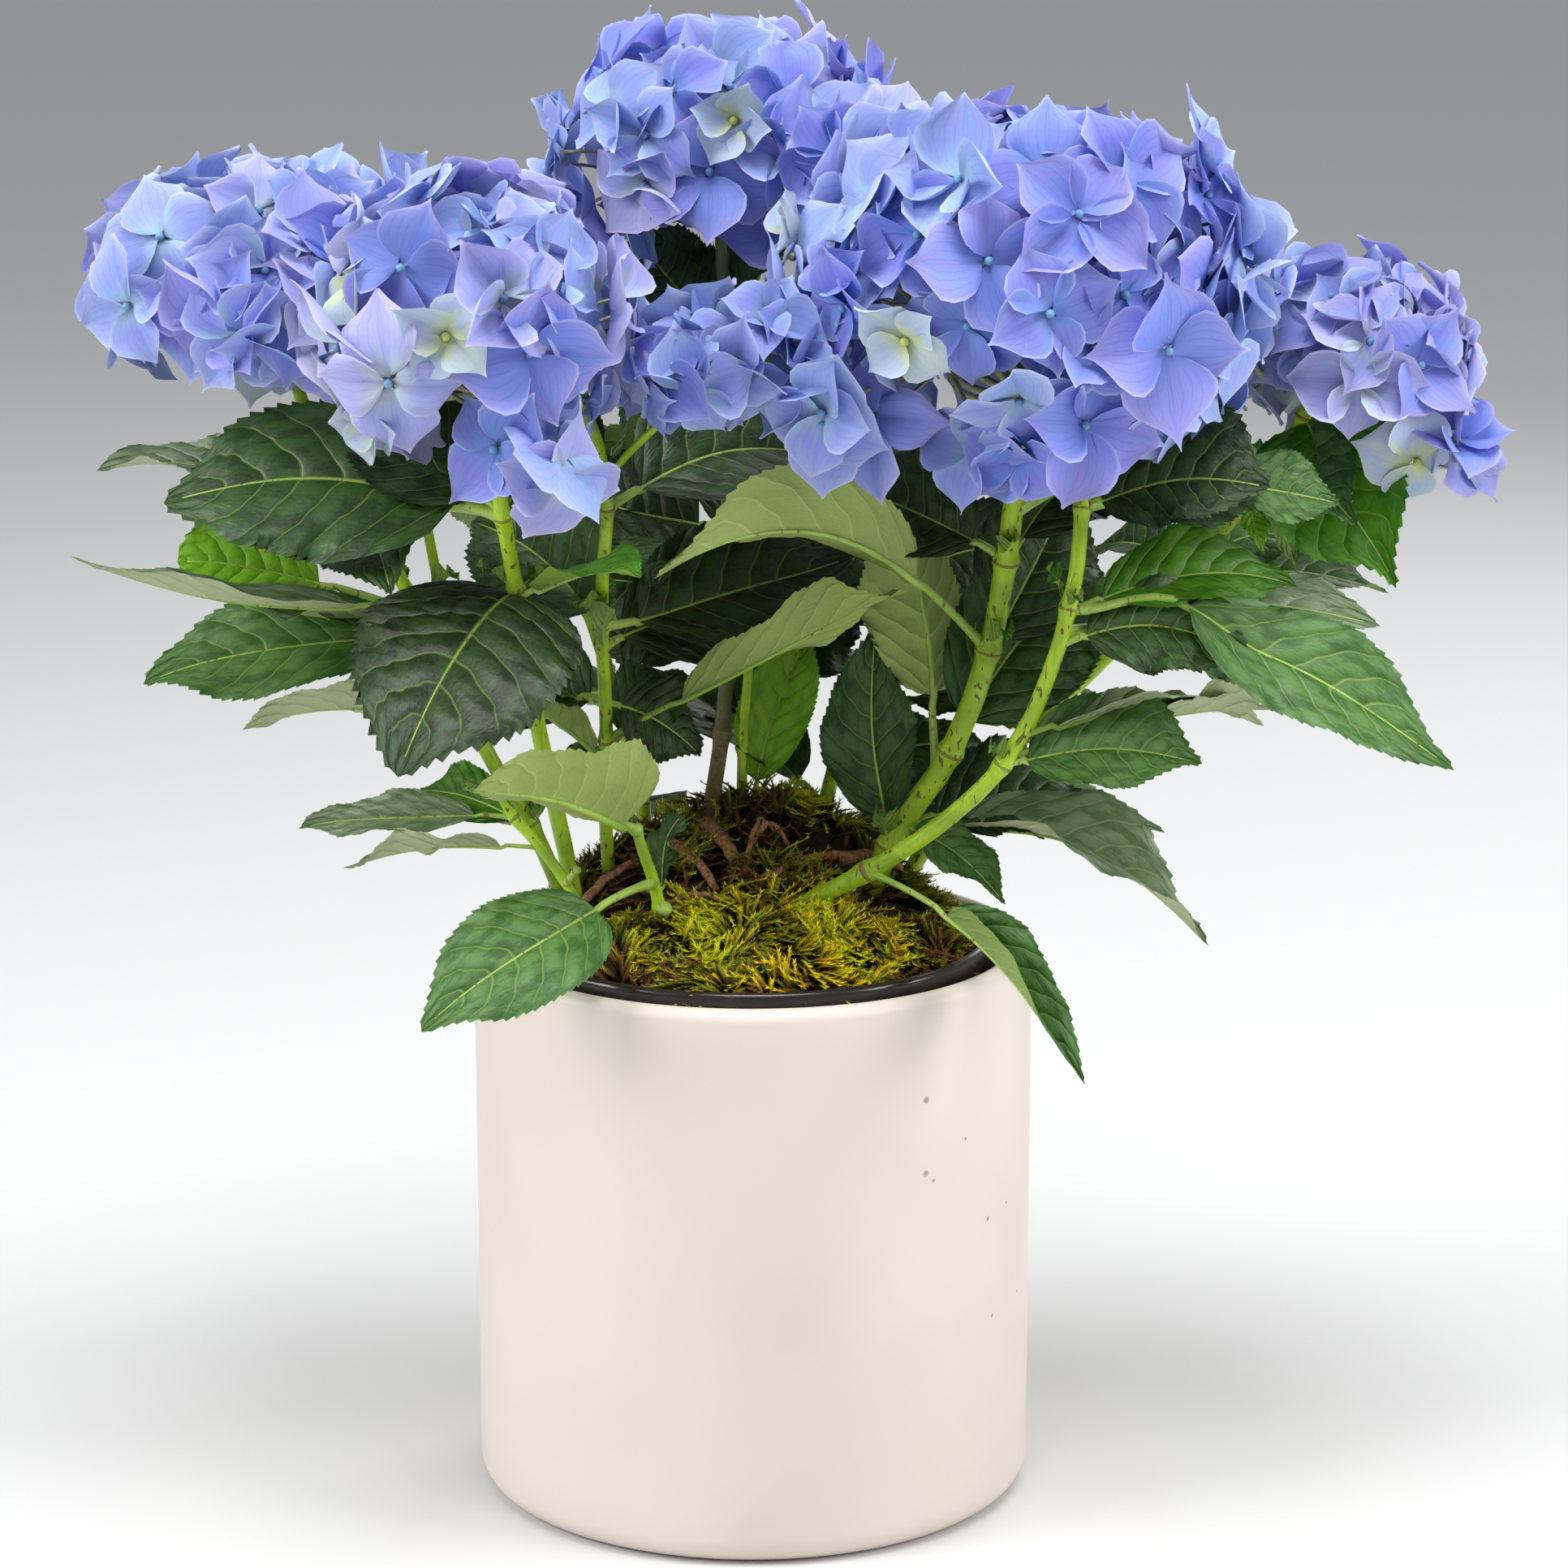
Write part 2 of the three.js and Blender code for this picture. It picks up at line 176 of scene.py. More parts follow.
class Shader:
    """One material, with a Principled surface and the nodes that feed it."""

    def __init__(self, name: str, color: Color, roughness: float) -> None:
        """Makes the material with its plain colour and roughness.

        Args:
            name: The material's name.
            color: The mean colour, which also shows in the viewport.
            roughness: The plain roughness.
        """
        self.material = bpy.data.materials.new(name)
        self.material.use_nodes = True
        self.material.diffuse_color = (*linear(color), 1)
        self.tree = self.material.node_tree
        self.tree.nodes.clear()
        self.output = self.tree.nodes.new("ShaderNodeOutputMaterial")
        self.surface = self.tree.nodes.new("ShaderNodeBsdfPrincipled")
        self.plain("Base Color", (*linear(color), 1))
        self.plain("Roughness", roughness)
        self.tree.links.new(self.surface.outputs["BSDF"], self.output.inputs["Surface"])

    def plain(self, name: str, value: float | tuple[float, ...]) -> None:
        """Sets an input that is the same all over the surface."""
        self.surface.inputs[name].default_value = value

    def feed(self, name: str, value: Value) -> None:
        """Feeds an input that varies over the surface."""
        self.tree.links.new(value.socket, self.surface.inputs[name])

    def node(self, kind: str, settings: dict, inputs: dict, output: int | str = 0) -> Value:
        """Adds one node.

        Args:
            kind: The node's type, without the words that all types start with.
            settings: Its settings, which are set first.
            inputs: The values or links of its sockets, by name or number.
            output: The output to hand back.

        Returns:
            The output as a value.
        """
        made = self.tree.nodes.new("ShaderNode" + kind)
        for name, setting in settings.items():
            setattr(made, name, setting)
        for name, value in inputs.items():
            if isinstance(value, Value):
                self.tree.links.new(value.socket, made.inputs[name])
            else:
                made.inputs[name].default_value = value
        return Value(self, made.outputs[output])

    def place(self) -> Value:
        """The point in the object's own space."""
        return self.node("TexCoord", {}, {}, "Object")

    def part(self, point: Value, axis: int) -> Value:
        """One coordinate of a point."""
        return self.node("SeparateXYZ", {}, {0: point}, axis)

    def sheet(self) -> tuple[Value, Value]:
        """The two coordinates of the piece's own map."""
        across = self.part(self.node("UVMap", {"uv_map": Joined.MAP}, {}), 0)
        return across, Value(self, across.socket.node.outputs[1])

    def blade(self, bands: int) -> tuple[Value, Value, Value, Value]:
        """Reads a sheet's map.

        Args:
            bands: The number of bands that the map's sheets are dealt into.

        Returns:
            1 on the underside, the place across from -1 to 1, the place along from 0 to 1, and the
            band's share from 0 to 1.
        """
        u, v = self.sheet()
        rows = v * float(bands)
        along = rows.fraction()
        band = (rows - along) / max(bands - 1, 1)
        under = u > 0.5
        across = ((u * 2).fraction() - 0.5) / (2 * Sheet.HALF)
        return under, across, (along - Sheet.MARGIN) / (1 - 2 * Sheet.MARGIN), band

    def point(self, x: Value | float, y: Value | float) -> Value:
        """A point of a map from two values."""
        return self.node("CombineXYZ", {}, {0: x, 1: y})

    def stretched(self, where: Value, scale: Triple) -> Value:
        """A point with its axes scaled."""
        return self.node("Mapping", {}, {"Vector": where, "Scale": scale})

    def noise(self, where: Value, scale: float, detail: float = 3, rough: float = 0.55,
              axes: str = "3D") -> Value:
        """Soft noise from 0 to 1 about a scale, in space or, with 2D, on a map."""
        inputs = {"Vector": where, "Scale": scale, "Detail": detail, "Roughness": rough}
        return self.node("TexNoise", {"noise_dimensions": axes}, inputs, "Fac")

    def cells(self, where: Value, scale: float) -> Value:
        """Distance from the middle of the nearest cell of a scale."""
        return self.node("TexVoronoi", {"feature": "F1"}, {"Vector": where, "Scale": scale})

    def net(self, where: Value, scale: float) -> Value:
        """Distance from the edge of the cell of a scale, on a map."""
        settings = {"feature": "DISTANCE_TO_EDGE", "voronoi_dimensions": "2D"}
        return self.node("TexVoronoi", settings, {"Vector": where, "Scale": scale})

    def spot(self, where: Value, middle: Triple, radius: float) -> Value:
        """1 within a radius of a point, fading at its edge."""
        apart = self.node("VectorMath", {"operation": "DISTANCE"}, {0: where, 1: middle}, "Value")
        return 1 - apart.eased(radius * 0.5, radius * 1.2)

    def mix(self, first: Value | Color, second: Value | Color, share: Value | float) -> Value:
        """A colour between two colours.

        Args:
            first: The colour where the share is 0.
            second: The colour where the share is 1.
            share: How much of the second shows.

        Returns:
            The mixed colour.
        """
        inputs = {0: share}
        for slot, color in ((6, first), (7, second)):
            inputs[slot] = (*linear(color), 1) if isinstance(color, int) else color
        return self.node("Mix", {"data_type": "RGBA"}, inputs, 2)

    def relief(self, height: Value, distance: float, strength: float = 1.0) -> None:
        """Feeds the surface's normal from a height.

        Args:
            height: The height, from 0 to 1.
            distance: The metres that 1 stands for.
            strength: How much of the relief shows.
        """
        inputs = {"Strength": strength, "Distance": distance, "Height": height}
        self.feed("Normal", self.node("Bump", {}, inputs))

    def glow_through(self, color: Color, share: float) -> None:
        """Lets light through a thin sheet.

        Args:
            color: The colour that the light takes.
            share: How much of the light goes through.
        """
        thin = self.node("BsdfTranslucent", {}, {"Color": (*linear(color), 1)})
        body = Value(self, self.surface.outputs["BSDF"])
        mixed = self.node("MixShader", {}, {0: share, 1: body, 2: thin})
        self.tree.links.new(mixed.socket, self.output.inputs["Surface"])


# ---- meshes ----


def linked(name: str, data: bpy.types.ID) -> bpy.types.Object:
    """A new object of the scene."""
    made = bpy.data.objects.new(name, data)
    bpy.context.scene.collection.objects.link(made)
    return made


def dressed(piece: bpy.types.Object, shader: Shader, nodes: tuple[str, ...] = ()) -> None:
    """Finishes a piece: its material, its body and the nodes it stands for.

    Args:
        piece: The piece, in place.
        shader: Its material.
        nodes: The CAD nodes that it stands for.
    """
    piece.data.materials.clear()
    piece.data.materials.append(shader.material)
    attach(piece, "root")
    if nodes:
        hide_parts(*nodes)
    LOG.info("%s: %d faces", piece.name, len(piece.data.polygons))


def from_bmesh(shape: bmesh.types.BMesh, name: str) -> bpy.types.Object:
    """A smooth-shaded object from a bmesh.

    Args:
        shape: The bmesh, which is freed.
        name: The object's name.

    Returns:
        The object.
    """
    mesh = bpy.data.meshes.new(name)
    shape.to_mesh(mesh)
    shape.free()
    mesh.polygons.foreach_set("use_smooth", [True] * len(mesh.polygons))
    return linked(name, mesh)


def turned(name: str, profile: Profile, segments: int, centre: Vector) -> bpy.types.Object:
    """A closed profile of radius and height spun about the upright axis.

    Args:
        name: The piece's name.
        profile: Points of radius and height, from the axis round to the axis.
        segments: Steps of a full turn.
        centre: Where the axis stands.

    Returns:
        The object.
    """
    shape = bmesh.new()
    rim = [shape.verts.new((radius, 0, height)) for radius, height in profile]
    edges = [shape.edges.new(pair) for pair in zip(rim, rim[1:])]
    bmesh.ops.spin(shape, geom=rim + edges, cent=(0, 0, 0), axis=(0, 0, 1), angle=math.tau,
                   steps=segments, use_merge=True)
    bmesh.ops.remove_doubles(shape, verts=shape.verts, dist=1e-6)
    bmesh.ops.dissolve_degenerate(shape, edges=shape.edges, dist=1e-7)
    bmesh.ops.recalc_face_normals(shape, faces=shape.faces)
    bmesh.ops.translate(shape, verts=shape.verts, vec=centre)
    return from_bmesh(shape, name)


def arc(radius: float, height: float, size: float, start: float, end: float, steps: int) -> Profile:
    """Points of a round in a profile, from one angle to another in degrees."""
    angles = np.radians(np.linspace(start, end, steps + 1))
    return [(radius + size * math.cos(a), height + size * math.sin(a)) for a in angles]


class Joined:
    """Many small shapes joined into one mesh from arrays, with a map of their own."""

    MAP = "OFBake"

    def __init__(self) -> None:
        """Starts with nothing."""
        self.points: list[Array] = []
        self.faces: list[Array] = []
        self.maps: list[Array] = []
        self.count = 0

    def add(self, points: Array, faces: Array, map_points: Array) -> None:
        """Adds one shape.

        Args:
            points: Its points, one in each row.
            faces: Its faces of three or four corners, as rows of point numbers.
            map_points: Where each point lies on the map.
        """
        self.points.append(points)
        self.faces.append(faces + self.count)
        self.maps.append(map_points)
        self.count += len(points)

    def piece(self, name: str) -> bpy.types.Object:
        """Joins the shapes.

        Args:
            name: The piece's name.

        Returns:
            One smooth-shaded object.
        """
        points = np.concatenate(self.points).astype(np.float32)
        corners = np.concatenate([faces.ravel() for faces in self.faces]).astype(np.int32)
        sizes = np.concatenate([np.full(len(faces), faces.shape[1]) for faces in self.faces])
        starts = np.concatenate([[0], np.cumsum(sizes)[:-1]]).astype(np.int32)
        mesh = bpy.data.meshes.new(name)
        mesh.vertices.add(len(points))
        mesh.vertices.foreach_set("co", points.ravel())
        mesh.loops.add(len(corners))
        mesh.loops.foreach_set("vertex_index", corners)
        mesh.polygons.add(len(sizes))
        mesh.polygons.foreach_set("loop_start", starts)
        mesh.polygons.foreach_set("use_smooth", np.ones(len(sizes), bool))
        layer = mesh.uv_layers.new(name=self.MAP)
        layer.data.foreach_set("uv", np.concatenate(self.maps)[corners].astype(np.float32).ravel())
        mesh.update(calc_edges=True)
        return linked(name, mesh)


def grid_faces(rows: int, columns: int) -> Array:
    """Faces of a grid of points that is stored row by row."""
    corner = (np.arange(rows - 1)[:, None] * columns + np.arange(columns - 1)).ravel()
    return np.stack([corner, corner + columns, corner + columns + 1, corner + 1], axis=1)


def carried(line: Array, side: Array, twist: Array | None = None) -> tuple[Array, Array]:
    """Carries a side direction along a line.

    Args:
        line: The points of the line.
        side: The side direction, one or one for each point.
        twist: A turn about the line at each point, in degrees.

    Returns:
        The side directions, square to the line, and the directions of the upper side.
    """
    heading = unit(np.gradient(line, axis=0))
    sides = unit(side - np.sum(side * heading, axis=1, keepdims=True) * heading)
    if twist is not None:
        sides = turn(sides, heading, twist)
    return sides, np.cross(heading, sides)


def resampled(where: Array, stations: Array, rows: Array) -> Array:
    """Rows read between their stations."""
    return np.stack([np.interp(where, stations, column) for column in rows.T], axis=1)


def tube(line: Array, radii: Array, sides: int) -> tuple[Array, Array, Array]:
    """A round, tapering limb with closed ends.

    Args:
        line: The points of its middle line.
        radii: Its radius at each of them.
        sides: Its number of sides.

    Returns:
        Its points, its faces and their place on the map, which runs round it and along it.
    """
    heading = unit(np.gradient(line, axis=0))
    lying = abs(heading[:, 2]).mean() < 0.8
    side = unit(np.cross(heading, SKY if lying else EAST))
    other = np.cross(heading, side)
    line, side, other = (np.concatenate([rows[:1], rows, rows[-1:]]) for rows in (line, side, other))
    radii = np.concatenate([[0], radii, [0]])
    angles = np.linspace(0, math.tau, sides + 1)
    ring = np.cos(angles)[None, :, None] * side[:, None] + np.sin(angles)[None, :, None] * other[:, None]
    points = line[:, None] + radii[:, None, None] * ring
    map_points = np.stack(np.meshgrid(angles / math.tau, np.linspace(0, 1, len(line))), axis=-1)
    return points.reshape(-1, 3), grid_faces(len(line), sides + 1)[:, ::-1], map_points.reshape(-1, 2)


def outline(t: Array, base: float, point: float, drawn: float, taper: tuple[float, float]) -> Array:
    """Half the width of a blade along it, as a share of its greatest.

    Args:
        t: The stations along it, from 0 to 1.
        base: How slowly it widens from its foot.
        point: How slowly it narrows to its tip.
        drawn: How much of the tip's width is drawn in.
        taper: The stations between which that comes in.

    Returns:
        The shares.
    """
    crest = base / (base + point)
    most = crest ** base * (1 - crest) ** point
    return t ** base * (1 - t) ** point / most * (1 - drawn * smooth_step(*taper, t))


class Sheet:
    """A thin two-sided blade on a grid of stations along it and columns across it.

    Its map holds the upper side in the left half and the underside in the right half.
    """

    HALF = 0.24
    MARGIN = 0.01

    def __init__(self, along: Array, across: Array) -> None:
        """Lays out the grid.

        Args:
            along: The stations, from 0 to 1.
            across: The columns, from -1 to 1.
        """
        self.t = along[:, None]
        self.s = across[None, :]
        upper = grid_faces(len(along), len(across))
        self.faces = np.concatenate([upper, upper[:, [0, 3, 2, 1]] + len(along) * len(across)])
        t, s = (values.ravel() for values in np.broadcast_arrays(self.t, self.s))
        rows = self.MARGIN + (1 - 2 * self.MARGIN) * t
        halves = [np.stack([middle + self.HALF * s, rows], axis=1) for middle in (0.25, 0.75)]
        self.map_points = np.concatenate(halves)

    def banded(self, band: int) -> Array:
        """The map squeezed into one of the sepals' bands."""
        return (self.map_points + np.array([0, band])) / np.array([1, SepalSkin.BANDS])

    def formed(self, line: Array, frame_at: tuple[Array, Array], across: Array, lift: Array,
               thick: Array) -> Array:
        """The sheet's points.

        Args:
            line: The middle line, a point for each station.
            frame_at: The directions across and of the upper side, at each station.
            across: How far out each grid point lies.
            lift: How high each grid point lies.
            thick: How thick the sheet is at each grid point.

        Returns:
            The points of the upper side, then those of the underside.
        """
        side, normal = frame_at
        upper = line[:, None] + side[:, None] * across[..., None] + normal[:, None] * lift[..., None]
        under = upper - normal[:, None] * thick[..., None]
        return np.concatenate([upper.reshape(-1, 3), under.reshape(-1, 3)])


class Spine:
    """The middle line and radius of a stem, read from its CAD node by level slices."""

    PITCH = 3 * MM
    FOOT = 0.4 * MM
    HEAD = 0.6 * MM
    REACH = 3

    def __init__(self, node: str) -> None:
        """Slices a CAD node."""
        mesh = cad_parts[node].data
        mesh.calc_loop_triangles()
        corners = corners_of(node)
        triangles = corners[np.array([face.vertices[:] for face in mesh.loop_triangles])]
        low, high = corners[:, 2].min(), corners[:, 2].max()
        levels = np.linspace(low + self.FOOT, high - self.HEAD, max(4, round((high - low) / self.PITCH)))
        middles, rims = zip(*(self._slice(triangles, level) for level in levels))
        self.line = self._eased(np.array(middles))
        slant = 1 / np.maximum(unit(np.gradient(self.line, axis=0))[:, 2], 0.2)
        self.radii = self._eased(np.array(rims)[:, None] / (math.pi * (1 + slant[:, None])))[:, 0]
        self.node = node

    @staticmethod
    def _slice(triangles: Array, level: float) -> tuple[Array, float]:
        """Cuts triangles at a level.

        Args:
            triangles: Three corners in each row.
            level: The height of the cut.

        Returns:
            The middle and the length of the outline.
        """
        over = triangles[:, :, 2] - level
        ends: list[Array] = [np.full((len(triangles), 3), np.nan) for _ in range(2)]
        for first, second in ((0, 1), (1, 2), (2, 0)):
            crossing = over[:, first] * over[:, second] < 0
            share = over[crossing, first] / (over[crossing, first] - over[crossing, second])
            start, stop = triangles[crossing, first], triangles[crossing, second]
            hits = start + (stop - start) * share[:, None]
            free = np.isnan(ends[0][crossing, 0])
            rows = np.flatnonzero(crossing)
            ends[0][rows[free]] = hits[free]
            ends[1][rows[~free]] = hits[~free]
        cut = ~np.isnan(ends[1][:, 0])
        lengths = np.linalg.norm(ends[0][cut] - ends[1][cut], axis=1)
        middle = ((ends[0][cut] + ends[1][cut]) / 2 * lengths[:, None]).sum(axis=0) / lengths.sum()
        return middle, lengths.sum()

    def _eased(self, values: Array) -> Array:
        """Smooths the steps out of rows of values.

        Args:
            values: The rows.

        Returns:
            As many rows, with the ends kept.
        """
        reach = self.REACH
        padded = np.concatenate([2 * values[:1] - values[reach:0:-1], values,
                                 2 * values[-1:] - values[-2:-reach - 2:-1]])
        kernel = np.hanning(2 * reach + 3)[1:-1]
        kernel /= kernel.sum()
        return np.stack([np.convolve(column, kernel, mode="valid") for column in padded.T], axis=1)

    def at(self, height: float) -> Array:
        """The point of the middle line at a height."""
        return np.array([np.interp(height, self.line[:, 2], column) for column in self.line.T])

    def root_of(self, corners: Array) -> Array:
        """Finds where a mass grows from.

        Args:
            corners: The corners of the mass.

        Returns:
            The point of the middle line.
        """
        gaps = np.linalg.norm(corners[:, None] - self.line[None], axis=2)
        nearest = gaps.min(axis=1)
        count = max(3, int((nearest < nearest.min() + self.PITCH).sum()))
        closest = np.argsort(nearest)[:count]
        return self.line[gaps[closest].argmin(axis=1)].mean(axis=0)


# ---- planter, growing pot and root ball ----


@dataclass(frozen=True)
class CreamCeramic:
    """Matt cream glaze with faint clouds and a few small grey-brown specks.

    The specks in front are given by their bearing to the right, in degrees, their height and their
    radius, in millimetres.
    """

    cream: Color = 0xDED3CA
    warm: Color = 0xD7CABF
    speck: Color = 0x807060
    roughness: float = 0.42
    coat: float = 0.12
    coat_roughness: float = 0.35

    RADIUS = 94.5 * MM
    GRAIN = 0.12 * MM
    SPECKS = ((37, 155, 1.3), (48, 138, 0.7), (37, 130, 1.1), (39, 127, 0.7), (56, 107, 0.9), (64, 109, 0.6),
              (58, 72, 0.8), (71, 74, 0.6))

    def shader(self) -> Shader:
        """The material."""
        made = Shader("cream ceramic", self.cream, self.roughness)
        place = made.place()
        clouds = made.noise(place, 9, 2)
        glaze = made.mix(self.cream, self.warm, clouds.eased(0.35, 0.7))
        spots = made.cells(place, 62)
        chosen = made.noise(place, 23, 1).eased(0.6, 0.68)
        behind = made.part(place, 1).eased(0.0, 0.02)
        grain = (1 - spots.eased(0.04, 0.11)) * chosen * behind
        for bearing, height, size in self.SPECKS:
            way = math.radians(bearing)
            middle = (self.RADIUS * math.sin(way), -self.RADIUS * math.cos(way), height * MM)
            grain = grain.most(made.spot(place, middle, size * MM))
        made.feed("Base Color", made.mix(glaze, self.speck, grain * 0.75))
        made.feed("Roughness", 0.38 + 0.16 * made.noise(place, 30, 3))
        made.relief(made.noise(place, 260, 4) - grain * 0.8, self.GRAIN, 0.45)
        made.plain("Coat Weight", self.coat)
        made.plain("Coat Roughness", self.coat_roughness)
        return made


@dataclass(frozen=True)
class DarkPlastic:
    """Glossy dark-brown plastic with fine scuffs and a little dust."""

    dark: Color = 0x261C19
    dusty: Color = 0x483C34

    SCUFF = 0.08 * MM

    def shader(self) -> Shader:
        """The material."""
        made = Shader("dark plastic", self.dark, 0.25)
        place = made.place()
        dust = made.noise(place, 46, 5, 0.7).eased(0.55, 0.8)
        made.feed("Base Color", made.mix(self.dark, self.dusty, dust * 0.45))
        made.feed("Roughness", 0.2 + 0.35 * dust)
        made.relief(made.noise(made.stretched(place, (1, 1, 6)), 180, 3), self.SCUFF, 0.5)
        return made


@dataclass(frozen=True)
class Peat:
    """Crumbly dark peat."""

    dark: Color = 0x241912
    light: Color = 0x4E3826

    CRUMB = 1.2 * MM

    def shader(self) -> Shader:
        """The material."""
        made = Shader("peat", self.dark, 0.95)
        place = made.place()
        crumbs = made.cells(place, 260)
        made.feed("Base Color", made.mix(self.light, self.dark, crumbs.eased(0.1, 0.7)))
        made.relief(crumbs + made.noise(place, 500, 4), self.CRUMB)
        return made


@dataclass
class Planter:
    """The straight-sided ceramic cover pot, with a soft lip and a rounded foot."""

    wall: float = 8.3 * MM
    floor: float = 9 * MM
    foot: float = 9 * MM
    ring: float = 5 * MM
    chamfer: float = 2 * MM
    well: float = 6 * MM
    kick: float = 2 * MM
    segments: int = 144
    finish: CreamCeramic = field(default_factory=CreamCeramic)

    SIDE_RINGS = 5
    OVER_FOOT = 10 * MM
    UNDER_LIP = 8 * MM

    def build(self) -> None:
        """Makes the pot from the size of its CAD node."""
        low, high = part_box("planter")
        radius = (high.x - low.x) / 2
        inner = radius - self.wall
        ring = radius - self.foot - self.ring
        lip = self.wall / 2
        sides = np.linspace(self.foot + self.OVER_FOOT, high.z - lip - self.UNDER_LIP, self.SIDE_RINGS)
        profile = [(0, self.kick), (ring - self.chamfer, self.kick), (ring, 0)]
        profile += arc(radius - self.foot, self.foot, self.foot, -90, 0, 10)
        profile += [(radius, height) for height in sides]
        profile += arc(radius - lip, high.z - lip, lip, 0, 180, 14)
        profile += arc(inner - self.well, self.floor + self.well, self.well, 0, -90, 5)
        profile += [(0, self.floor)]
        piece = turned("cover_pot", profile, self.segments, Vector((0, 0, 0)))
        dressed(piece, self.finish.shader(), ("planter",))


@dataclass
class GrowingPot:
    """The thin dark pot inside the planter: its rolled rim stands just above the lip."""

    wall: float = 1.5 * MM
    rim_height: float = 10 * MM
    rim_out: float = 2.6 * MM
    bead: float = 2 * MM
    taper: float = 13 * MM
    chamfer: float = 2 * MM
    bevel: float = 0.5 * MM
    segments: int = 120
    finish: DarkPlastic = field(default_factory=DarkPlastic)

    def build(self) -> None:
        """Makes the pot from the size of its CAD node."""
        low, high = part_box("growing_pot")
        centre = (low + high) / 2
        outer = (high.x - low.x) / 2
        skirt = high.z - self.rim_height
        bead = self.bead
        body = outer - self.rim_out
        base = body - self.taper
        floor = low.z + 2 * self.wall
        profile = [(0, low.z), (base - self.chamfer, low.z), (base, low.z + self.chamfer), (body, skirt)]
        profile += [(outer - self.bevel, skirt), (outer, skirt + 2 * self.bevel)]
        profile += arc(outer - bead, high.z - bead, bead, 0, 180, 8)
        profile += [(outer - 2 * bead, high.z - 3 * bead), (body - self.wall, skirt)]
        profile += [(base - self.wall, floor), (0, floor)]
        piece = turned("plastic_pot", profile, self.segments, Vector((centre.x, centre.y, 0)))
        dressed(piece, self.finish.shader(), ("growing_pot",))


class RootBall:
    """The peat in the growing pot, which stays the CAD node."""

    def dress(self) -> None:
        """Gives the CAD node its material."""
        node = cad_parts["root_ball"]
        node.data.materials.clear()
        node.data.materials.append(Peat().shader().material)


# ---- stems ----


@dataclass(frozen=True)
class StemSkin:
    """The skin of a stem: its fresh and its aged colour, its dashes and where its foot turns woody.

    The foot turns woody between two shares of its length, and not at all when both are below 0.
    """

    name: str
    fresh: Color = 0xB2D622
    aged: Color = 0x80A416
    dash: Color = 0x5C2220
    bark: Color = 0x624632
    bark_light: Color = 0x8C6C4E
    bark_from: float = -2.0
    bark_to: float = -1.0

    RELIEF = 0.35 * MM

    def shader(self) -> Shader:
        """The material. The map runs round the stem and up it."""
        made = Shader(self.name, self.fresh, 0.42)
        _, along = made.sheet()
        place = made.place()
        tone = made.noise(place, 55, 3)
        skin = made.mix(self.fresh, self.aged, tone.eased(0.35, 0.7))
        ribs = made.noise(made.stretched(place, (1, 1, 0.12)), 900, 2)
        skin = made.mix(skin, self.aged, ribs.eased(0.45, 0.75) * 0.5)
        marks = made.noise(made.stretched(place, (1, 1, 0.4)), 760, 0)
        sparse = made.noise(place, 90, 1).eased(0.4, 0.55)
        dashes = marks.eased(0.68, 0.73) * sparse
        skin = made.mix(skin, self.dash, dashes * 0.85)
        fibres = made.noise(made.stretched(place, (1, 1, 0.2)), 700, 4, 0.7)
        bark = made.mix(self.bark, self.bark_light, fibres.eased(0.35, 0.7))
        ragged = along + 0.05 * made.noise(place, 90, 3) - 0.025
        woody = 1 - ragged.eased(self.bark_from, self.bark_to)
        made.feed("Base Color", made.mix(skin, bark, woody))
        made.feed("Roughness", 0.4 + 0.4 * woody)
        made.relief(ribs * 0.4 + fibres * woody * 1.5 + dashes * 0.4, self.RELIEF, 0.8)
        return made


